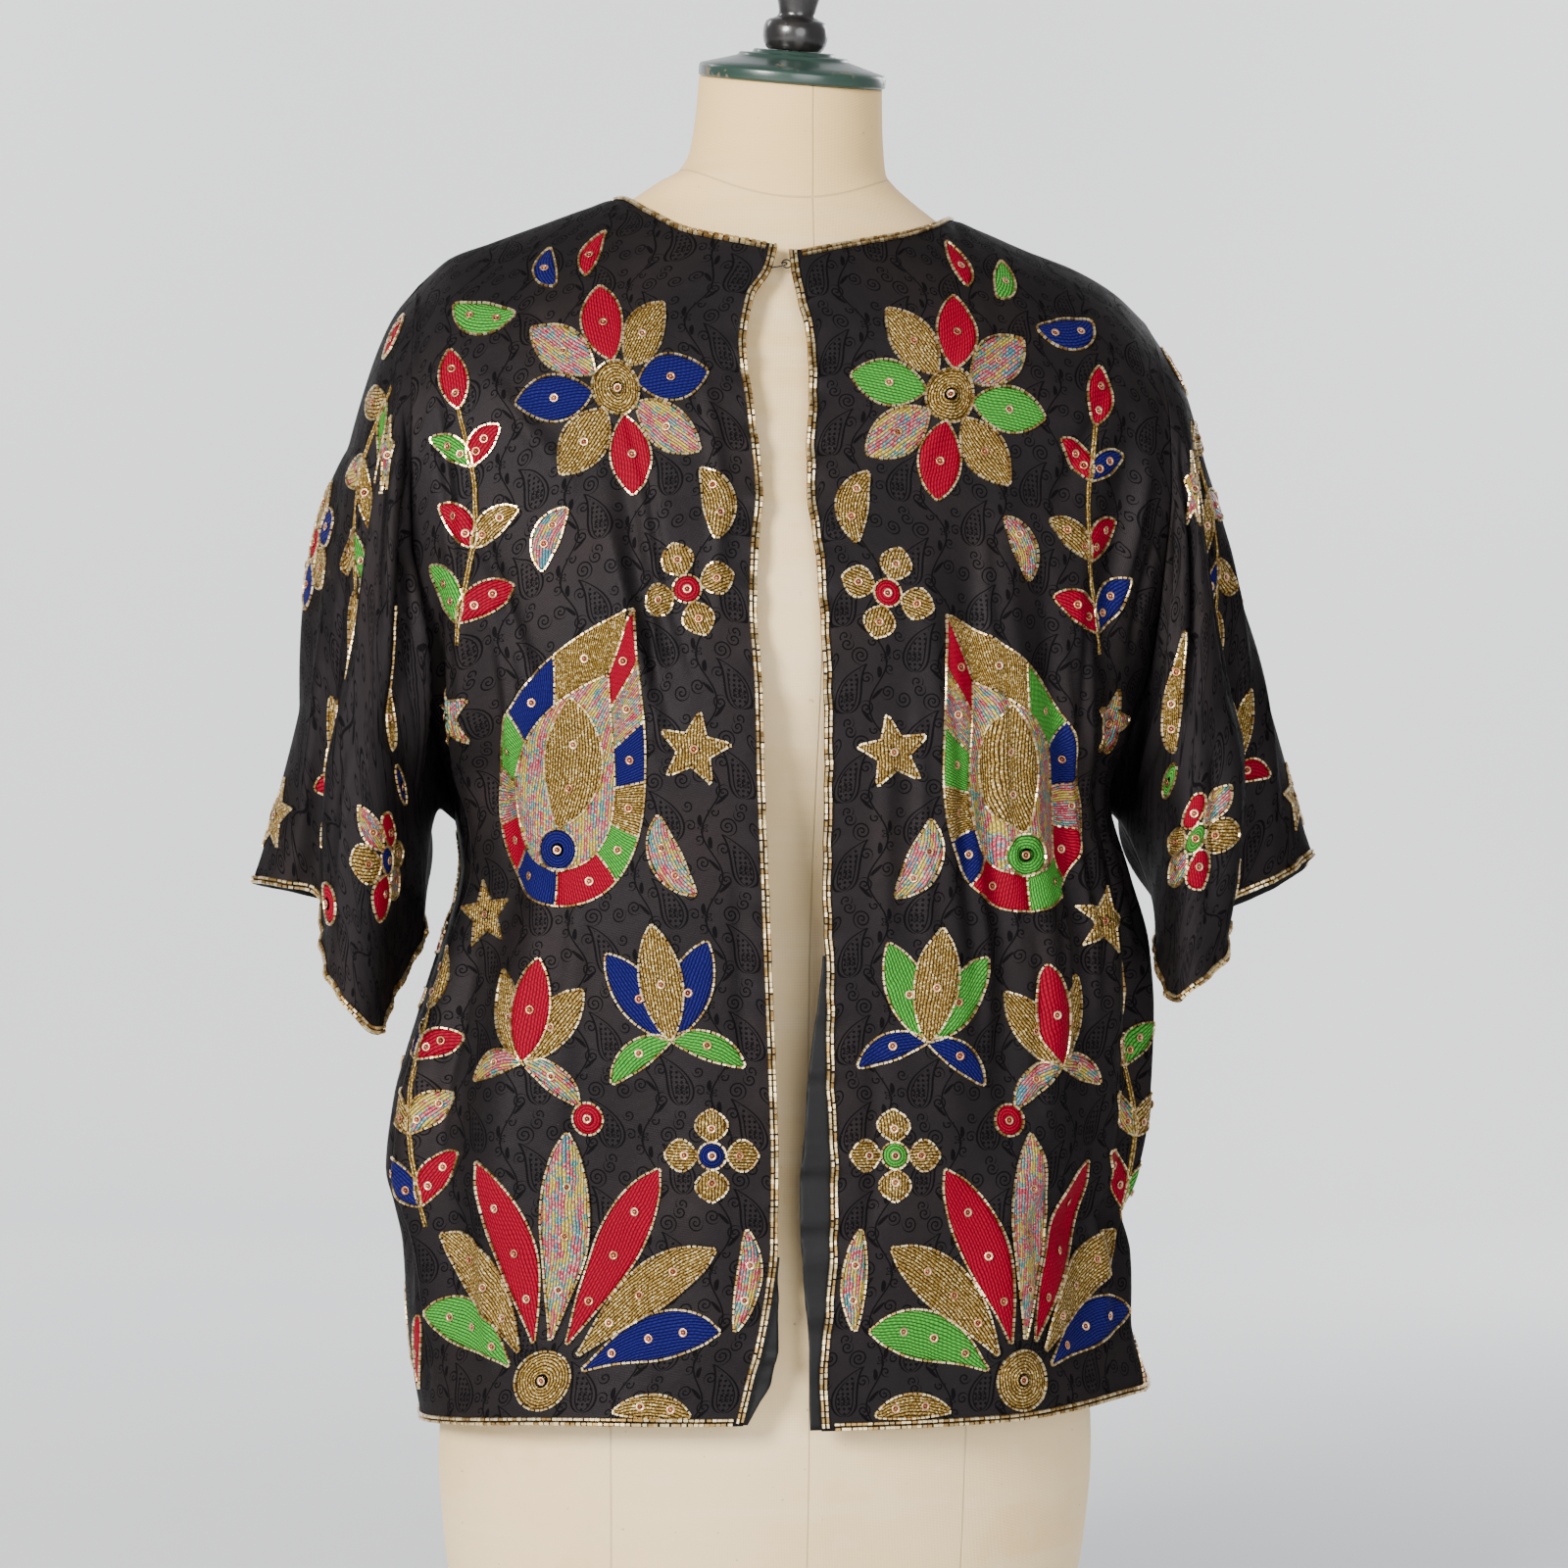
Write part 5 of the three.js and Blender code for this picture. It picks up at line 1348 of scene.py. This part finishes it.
# layout of the patches; the two fronts mirror each other with two colours changed over
def frontPatches(side):
    cloth, group = fronts[side], "outlines_" + sideName(side)
    cool, warm = ("blue", "green") if side < 0 else ("green", "blue")
    leaf(cloth, group, 104, 809, 2, 27, 12, "crimson", 0.06, 1)
    leaf(cloth, group, 122, 803, 38, 29, 12, cool, 0.08, 1)
    flower(cloth, group, 82, 744, 59, ["crimson", "lurex", cool, "gold"], 8, "gold", 10)
    leaf(cloth, group, 142, 786, 82, 42, 17, warm, 0.14)
    leaf(cloth, group, 110, 677, 160, 36, 15, "lurex", -0.14)
    leaf(cloth, group, 34, 700, 196, 40, 16, "gold", 0.12)
    spine = [[173, 604], [164, 664], [173, 732]]
    sprig(cloth, group, spine, ["crimson", warm, "gold", "crimson"], 37, 16, dots=2)
    ring = ["crimson", warm, "gold", cool, "lurex", "crimson", "gold", cool, warm, "lurex", "crimson", cool]
    paisley(cloth, group, 120, 462, 182, 98, -3, ring, "lurex", ("gold", cool), -1)
    flower(cloth, group, 38, 634, 26, ["gold"], 4, "crimson", 20, 16, 0.3)
    star(cloth, group, 189, 566, 20, "lurex", 8)
    star(cloth, group, 38, 548, 21, "gold", -10)
    star(cloth, group, 176, 456, 18, "gold", 12)
    leaf(cloth, group, 40, 470, 24, 46, 17, "lurex", 0.14)
    tulip(cloth, group, 56, 392, 8, 62, (cool, "gold", warm))
    tulip(cloth, group, 138, 378, -10, 56, ("gold", "crimson", "lurex"))
    spine = [[208, 284], [216, 342], [208, 402]]
    sprig(cloth, group, spine, ["crimson", cool, "lurex", "gold"], 38, 16, dots=2)
    flower(cloth, group, 36, 330, 25, ["gold"], 4, cool, 0, 16, 0.3)
    palmette(cloth, group, 116, 206, 134, [cool, "gold", "crimson", "lurex", "crimson", "gold", warm])
    leaf(cloth, group, 17, 236, 0, 54, 12, "lurex", -0.05, 2)
    leaf(cloth, group, 30, 190, 88, 42, 12, "gold", -0.1, 2)
    leaf(cloth, group, 224, 190, -4, 42, 14, "crimson", 0.08, 1)
    disc(cloth, group, 104, 348, 8, "crimson")


def sleevePatches(side):
    cloth, group = sleeves[side], "outlines_sleeves"
    cool, warm = ("blue", "green") if side < 0 else ("green", "blue")
    for way in (1, -1):
        leaf(cloth, group, way * 34, 22, 20 * way, 40, 16, "crimson" if way > 0 else "gold", 0.1)
        spine = [[way * 72, 60], [way * 62, 112], [way * 72, 160]]
        sprig(cloth, group, spine, ["gold", warm, "lurex", "gold"], 34, 14)
        star(cloth, group, way * 112, 66, 19, "lurex", 14 * way)
        leaf(cloth, group, way * 166, 96, 4 * way, 64, 17, "gold", 0.14 * way, 3)
        disc(cloth, group, way * 176, 176, 9, cool)
        tulip(cloth, group, way * 66, 250, 176, 46, ("gold", cool, "crimson"))
        flower(cloth, group, way * 150, 240, 31, ["crimson", "lurex", "gold"], 6, cool, 0)
        disc(cloth, group, way * 112, 286, 9, "crimson")
    star(cloth, group, 4, 284, 19, "gold", 180)
    flower(cloth, group, 6, 160, 27, [cool, "gold"], 6, "crimson", 0)


def backPatches():
    cloth, group = back, "outlines_back"
    flower(cloth, group, 0, 640, 92, ["crimson", "gold", "green", "lurex", "blue", "gold"], 12, "gold", 0)
    for way in (-1, 1):
        cool, warm = ("blue", "green") if way < 0 else ("green", "blue")
        spine = [[way * 60, 806], [way * 96, 790], [way * 134, 786]]
        sprig(cloth, group, spine, ["crimson", cool, "gold"], 34, 15, pairs=2)
        ring = ["crimson", warm, "gold", cool, "lurex", "crimson", "gold", cool, warm, "lurex"]
        paisley(cloth, group, way * 156, 586, 150, 80, way * 8, ring, "lurex", ("gold", cool), way)
        star(cloth, group, way * 106, 742, 22, "gold", way * 10)
        star(cloth, group, way * 66, 496, 24, "lurex", way * 10)
        tulip(cloth, group, way * 122, 424, way * 12, 62, (cool, "gold", "crimson"))
        tulip(cloth, group, way * 36, 402, way * 4, 52, ("gold", "crimson", warm))
        spine = [[way * 218, 320], [way * 210, 390], [way * 222, 460]]
        sprig(cloth, group, spine, ["crimson", cool, "lurex", "gold"], 46, 17)
        fan = [cool, "gold", "crimson", "lurex", "crimson", "gold", warm]
        palmette(cloth, group, way * 164, 204, 116, fan)
        flower(cloth, group, way * 84, 342, 24, ["gold"], 4, cool, 0, 16, 0.3)
        leaf(cloth, group, way * 252, 196, -4 * way, 48, 15, "crimson", 0.08 * way, 1)
    palmette(cloth, group, 0, 204, 116, ["blue", "gold", "lurex", "crimson", "lurex", "gold", "green"])


for side in (-1, 1):
    frontPatches(side)
    sleevePatches(side)
backPatches()
print("patches laid out")


# mixed metal thread: crimson, yellow, then turquoise, silver, crimson, rose and blue, each from a level on
lurexPlan = {
    # the pale third colour is a painted highlight, laid in small spots on the crowns of the rows
    "first": (0.46, 0.03, 0.075), "second": (0.50, 0.37, 0.02), "paintedGlint": (0.85, 0.80, 0.72),
    "tints": [
        ((0.005, 0.24, 0.23), 0.468), ((0.45, 0.36, 0.28), 0.508), ((0.48, 0.008, 0.055), 0.525),
        ((0.46, 0.12, 0.13), 0.575), ((0.01, 0.20, 0.26), 0.63),
    ],
}


def threadLook(name):
    # rows of chain stitch: rounded rows across, loops along them, set a little off from row to row
    dark, light = threadColours[name]
    metal = name in ("gold", "lurex")
    constants = {"Metallic": 0.5, "Specular IOR Level": 0.2}
    if not metal:
        constants = {"Metallic": 0.0, "Specular IOR Level": 0.06}
    finish = Finish("thread_" + name, constants)
    place = finish.feature("stitch")
    along, across, tone = finish.parts(place)
    tone = tone / 1000
    drift = finish.noise(finish.objectPlace(), 60, 2)
    row = across / stitchPlan["row"] + (drift - 0.5) * 1.9
    number = row.math("FLOOR")
    ridge = ((row % 1) * math.pi).math("SINE")
    loop = ((along / stitchPlan["loop"] + number * 0.37 + drift * 1.5) * (2 * math.pi)).math("SINE")
    relief = ridge * (0.75 + loop * 0.25)
    strand = finish.noise(finish.joined(along * 0.09, across * 1.4, tone * 9), 1, 3, 0.6)
    glint = finish.noise(finish.objectPlace(), 900, 2, 0.6)
    # painted light and shade: lit tone on the crowns of the rows, shaded tone on their sides, painted glints
    # from the fine noise, and the strands' own random tone
    shade = finish.mixed((relief * 0.75 + strand * 0.3 + glint * 0.35).step(0.3, 1.05), dark, light)
    if name == "lurex":
        # bands a few rows wide run through the tints, broken along each row
        hue = finish.noise(finish.joined(along * 0.045, number * 0.42, tone * 17), 1, 2, 0.6)
        broken = finish.noise(finish.joined(along * 0.3, number * 3.1, tone * 5), 1, 2, 0.6)
        hue = hue + (broken - 0.5) * 0.22
        tinted = finish.mixed(hue.step(0.34, 0.38), lurexPlan["first"], lurexPlan["second"])
        for tint, level in lurexPlan["tints"]:
            tinted = finish.mixed(hue.step(level - 0.012, level + 0.012), tinted, tint)
        shade = finish.mixed((relief * 0.5 + 0.5).smaller(0.93), shade, tinted)
        # painted glints: small spots of pale highlight on the crowns of the rows
        paintedGlints = glint.step(0.56, 0.68) * ridge.step(0.3, 0.8)
        shade = finish.mixed(paintedGlints * 0.55, shade, lurexPlan["paintedGlint"])
    if name == "gold":
        # painted glints in pale gold on the crowns of the rows, and painted dark specks where the glint noise
        # is lowest
        paintedGlints = glint.step(0.54, 0.66) * ridge.step(0.3, 0.8)
        shade = finish.mixed(paintedGlints * 0.95, shade, (0.95, 0.76, 0.38))
        shade = finish.mixed(glint.step(0.46, 0.34) * 0.6, shade, dark)
    # painted shade: in the grooves between the rows the colour falls to a third of the shaded tone
    gap = {"gold": 0.95, "lurex": 0.85}.get(name, 0.65) * (1 - ridge.step(0.0, 0.55))
    finish.colour(finish.mixed(gap, shade, tuple(value * 0.3 for value in dark)))
    finish.rough((0.38 if metal else 0.52) + strand * 0.25)
    finish.bump(relief + strand * 0.4 + glint * 0.3, 0.4 if name == "crimson" else 0.9, 0.0007)
    return finish.material


def joinedMesh(name, parts, material, feature):
    # parts are (points, quads, feature values, triangles or none)
    starts = np.cumsum([0] + [len(part[0]) for part in parts])
    quads = np.concatenate([part[1] + start for part, start in zip(parts, starts)])
    rest = [part[3] + start for part, start in zip(parts, starts) if len(part) > 3]
    features = {feature: np.concatenate([part[2] for part in parts])}
    points = np.concatenate([part[0] for part in parts])
    return makeMesh(name, points, quads, [material], np.concatenate(rest) if rest else None, features)


for colour, parts in patches.items():
    piece = joinedMesh("stitching_" + colour, parts, threadLook(colour), "stitch")
    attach(piece, "root")
    print("stitching", colour, len(piece.data.polygons))


def edgeBeads(group, cloth, edge, part=(0, 1)):
    # two rows at set distances in from one edge: "start" is the first column, "foot" and "top" the rows
    along = np.linspace(*part, 400)
    for distance in beadPlan["edgeRows"]:
        if edge == "start":
            run = runningLength(cloth.points, 0)
            reach = np.array([np.interp(distance, line, cloth.u) for line in run.T])
            u, v = np.interp(along, cloth.v, reach), along
        else:
            run = runningLength(cloth.points, 1)
            run = run if edge == "foot" else run[:, -1:] - run
            order = slice(None) if edge == "foot" else slice(None, None, -1)
            reach = np.array([np.interp(distance, line[order], cloth.v[order]) for line in run])
            u, v = along, np.interp(along, cloth.u, reach)
        addBeadsAlong(group, cloth, u, v, **edgingBeads)


def shareAtNeck(cloth, x):
    # share of the cloth's top row at which it passes x
    top = cloth.points[:, -1, 0]
    way = 1 if top[-1] > top[0] else -1
    return float(np.interp(x, top[::way], cloth.u[::way]))


for side in (-1, 1):
    name, cloth = sideName(side), fronts[side]
    edgeBeads("edge_front_" + name, cloth, "start", (0.002, 0.998))
    edgeBeads("edge_front_" + name, cloth, "top", (0.025, shareAtNeck(cloth, side * cutSizes["neckPoint"])))
    edgeBeads("edge_front_" + name, cloth, "foot", (0.022, 0.999))
    edgeBeads("edge_cuffs", sleeves[side], "top")
edgeBeads("edge_back", back, "top", [shareAtNeck(back, side * cutSizes["neckPoint"]) for side in (-1, 1)])
edgeBeads("edge_back", back, "foot")


def beadTemplate():
    # five-sided tube along X, one unit long and one unit in radius, an edge down in the cloth, ends closed
    angle = np.linspace(0, 2 * np.pi, 5, endpoint=False) - np.pi / 2
    ring = np.stack([0 * angle, np.cos(angle), np.sin(angle)], axis=1)
    points = np.concatenate([ring - [0.5, 0, 0], ring + [0.5, 0, 0]])
    k = np.arange(5)
    after = (k + 1) % 5
    sides = np.stack([k, k + 5, after + 5, after], axis=1)[:, ::-1]
    wide, narrow = np.array([[0, 1, 2, 3]]), np.array([[0, 3, 4]])
    quads = np.concatenate([sides, wide[:, ::-1], wide + 5])
    return points, quads, np.concatenate([narrow[:, ::-1], narrow + 5])


def ringTemplate(profile, sides):
    # closed profile of radius, height carried round the normal
    rows = len(profile)
    i, j = [part.ravel() for part in np.meshgrid(np.arange(sides), np.arange(rows), indexing="ij")]
    after, above = (i + 1) % sides, (j + 1) % rows
    quads = np.stack([i * rows + j, after * rows + j, after * rows + above, i * rows + above], axis=1)
    return turnedGrid(np.array(profile, float), sides), quads, np.zeros((0, 3), int)


def placedCopies(template, centre, axes, size):
    # template points times size, along the three axes, at each centre
    scaled = template[None] * size[:, None]
    return centre[:, None] + np.einsum("nka,nab->nkb", scaled, axes)


def beadLook(name, dark, light):
    finish = Finish(name, {"Metallic": 0.85, "Coat Weight": 0.4, "Coat Roughness": 0.08})
    tone = finish.parts(finish.feature("stitch"), 1)[0]
    tarnish = finish.noise(finish.objectPlace(), 60, 3, 0.6)
    shade = finish.mixed(tone.step(0.1, 0.9), dark, light)
    tarnished = tuple(value * 0.45 for value in dark)
    finish.colour(finish.mixed(tarnish.step(0.5, 0.75) * 0.55, shade, tarnished))
    finish.rough(0.2 + tarnish * 0.2)
    return finish.material


goldBead = beadLook("goldBeads", (0.33, 0.19, 0.05), (0.88, 0.70, 0.38))
edgeNodes = {
    "edge_front_left": ["edging_front_left", "edging_neck_left", "edging_hem_left"],
    "edge_front_right": ["edging_front_right", "edging_neck_right", "edging_hem_right"],
    "edge_cuffs": ["edging_cuff_left", "edging_cuff_right"],
    "edge_back": ["edging_neck_back", "edging_hem_back"],
}


def makeCopies(name, points, quads, triangles, material, smooth=True):
    # one mesh of copies, (count, corners, 3), each with a tone of its own
    count, corners = points.shape[:2]
    first = np.arange(count)[:, None, None] * corners
    tone = np.repeat(randomTone.uniform(0, 1, (count, 3)), corners, axis=0)
    piece = makeMesh(
        name, points.reshape(-1, 3), (quads[None] + first).reshape(-1, 4), [material],
        (triangles[None] + first).reshape(-1, 3), {"stitch": tone}, smooth=smooth,
    )
    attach(piece, "root")
    return piece


beadShape, beadQuads, beadTriangles = beadTemplate()
for group, rows in beadRows.items():
    centre, tangent, normal, size = [np.concatenate(part) for part in zip(*rows)]
    axes = np.stack([tangent, np.cross(normal, tangent), normal], axis=1)
    points = placedCopies(beadShape, centre, axes, size[:, [0, 1, 1]])
    piece = makeCopies("beads_" + group, points, beadQuads, beadTriangles, goldBead, smooth=False)
    if group in edgeNodes:
        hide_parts(*edgeNodes[group])
    print("beads", group, len(points))

sequinPlan = {  # profiles of radius, height in mm; tilt of each sequin as a share of its normal
    "ring": [[1.25, 0.02], [1.9, 0.12], [2.45, 0.4], [2.45, 0.62], [1.9, 0.5], [1.3, 0.4]], "ringSides": 10,
    "bead": [[0, 0.0], [0.8, 0.1], [1.0, 0.55], [0.7, 0.95], [0, 1.05]], "beadSides": 6,
    "tilt": 0.25,
}
sequinCentre = np.concatenate([spot[0] for spot in sequins])
sequinNormal = np.concatenate([spot[1] for spot in sequins])
sideways = np.cross(sequinNormal, [0.0, 0.3, 1.0])
sideways /= np.linalg.norm(sideways, axis=1, keepdims=True)
lean = randomTone.uniform(-sequinPlan["tilt"], sequinPlan["tilt"], (len(sequins), 1))
tilted = sequinNormal + sideways * lean
tilted /= np.linalg.norm(tilted, axis=1, keepdims=True)
sideways -= tilted * np.sum(sideways * tilted, axis=1, keepdims=True)
sideways /= np.linalg.norm(sideways, axis=1, keepdims=True)
sequinAxes = np.stack([sideways, np.cross(tilted, sideways), tilted], axis=1)
sequinLooks = {
    "ring": beadLook("sequinGold", (0.52, 0.23, 0.10), (0.88, 0.58, 0.33)),
    "bead": beadLook("sequinBead", (0.22, 0.03, 0.015), (0.50, 0.16, 0.07)),
}
for name, template in (("ring", ringTemplate), ("bead", turnedShape)):
    shape, quads, triangles = template(sequinPlan[name], sequinPlan[name + "Sides"])
    points = placedCopies(shape, sequinCentre, sequinAxes, np.ones((len(sequins), 3)))
    makeCopies("sequins_" + name, points, quads, triangles, sequinLooks[name])
print("sequins", len(sequins))

# the sweep's sizes and tones, metres, and the light of the room
stagePlan = {
    "wall": 3.4, "curve": 0.8, "half": 4.5, "front": -4.5, "top": 4.5,
    "tones": ((0.70, 0.71, 0.725), (0.73, 0.735, 0.745)), "room": (0.86, 0.88, 0.92, 1), "roomStrength": 0.5,
}


def stageSweep():
    # floor, quarter circle and wall as one profile carried along X
    turn = np.linspace(0, np.pi / 2, 24)
    curve = stagePlan["curve"]
    bendY = stagePlan["wall"] - curve + curve * np.sin(turn)
    bendZ = curve - curve * np.cos(turn)
    y = np.concatenate([[stagePlan["front"]], bendY, [stagePlan["wall"]]])
    z = np.concatenate([[0], bendZ, [stagePlan["top"]]])
    x = np.array([-stagePlan["half"], stagePlan["half"]])
    points = np.stack([np.repeat(x, len(y)), np.tile(y, 2), np.tile(z, 2)], axis=1) * 1000
    finish = Finish("paleWall", {"Specular IOR Level": 0.1, "Roughness": 0.9})
    place = finish.objectPlace()
    cloudy = finish.noise(place, 1.2, 2)
    finish.colour(finish.mixed(cloudy.step(0.3, 0.7), *stagePlan["tones"]))
    finish.bump(finish.noise(place, 30, 3), 0.06, 0.002)
    return makeMesh("floor_sweep", points, gridQuads(2, len(y), 1), [finish.material])


stageSweep()


# round soft lights: name, place, aim, size (m), power (W), colour
lightPlan = [
    ["key", (-2.0, -2.3, 1.5), (0, 0, 0.55), 1.0, 168, (1.0, 0.985, 0.96)],
    ["fill", (0.6, -3.2, 0.8), (0, 0, 0.5), 2.0, 60, (0.97, 0.98, 1.0)],
    ["back", (1.9, 2.1, 1.9), (0, 0, 0.55), 1.4, 34, (0.97, 0.98, 1.0)],
    ["wallLeft", (-1.7, 1.6, 2.4), (-0.6, 3.4, 0.7), 1.4, 60, (1.0, 1.0, 1.0)],
    ["wallRight", (2.2, 1.5, 1.9), (1.3, 3.4, 1.1), 1.2, 60, (1.0, 1.0, 1.0)],
]


def addLight(name, place, aim, size, power, colour):
    data = bpy.data.lights.new(name, "AREA")
    data.shape = "DISK"
    data.size = size
    data.energy = power
    data.color = colour
    light = bpy.data.objects.new(name, data)
    light.location = place
    light.rotation_euler = (Vector(aim) - Vector(place)).to_track_quat("-Z", "Y").to_euler()
    light.visible_camera = False
    bpy.context.scene.collection.objects.link(light)


for light in lightPlan:
    addLight(*light)
world = bpy.data.worlds.new("softRoom")
bpy.context.scene.world = world
world.use_nodes = True
room = world.node_tree.nodes["Background"].inputs
room["Color"].default_value = stagePlan["room"]
room["Strength"].default_value = stagePlan["roomStrength"]
print("stage and lights made")
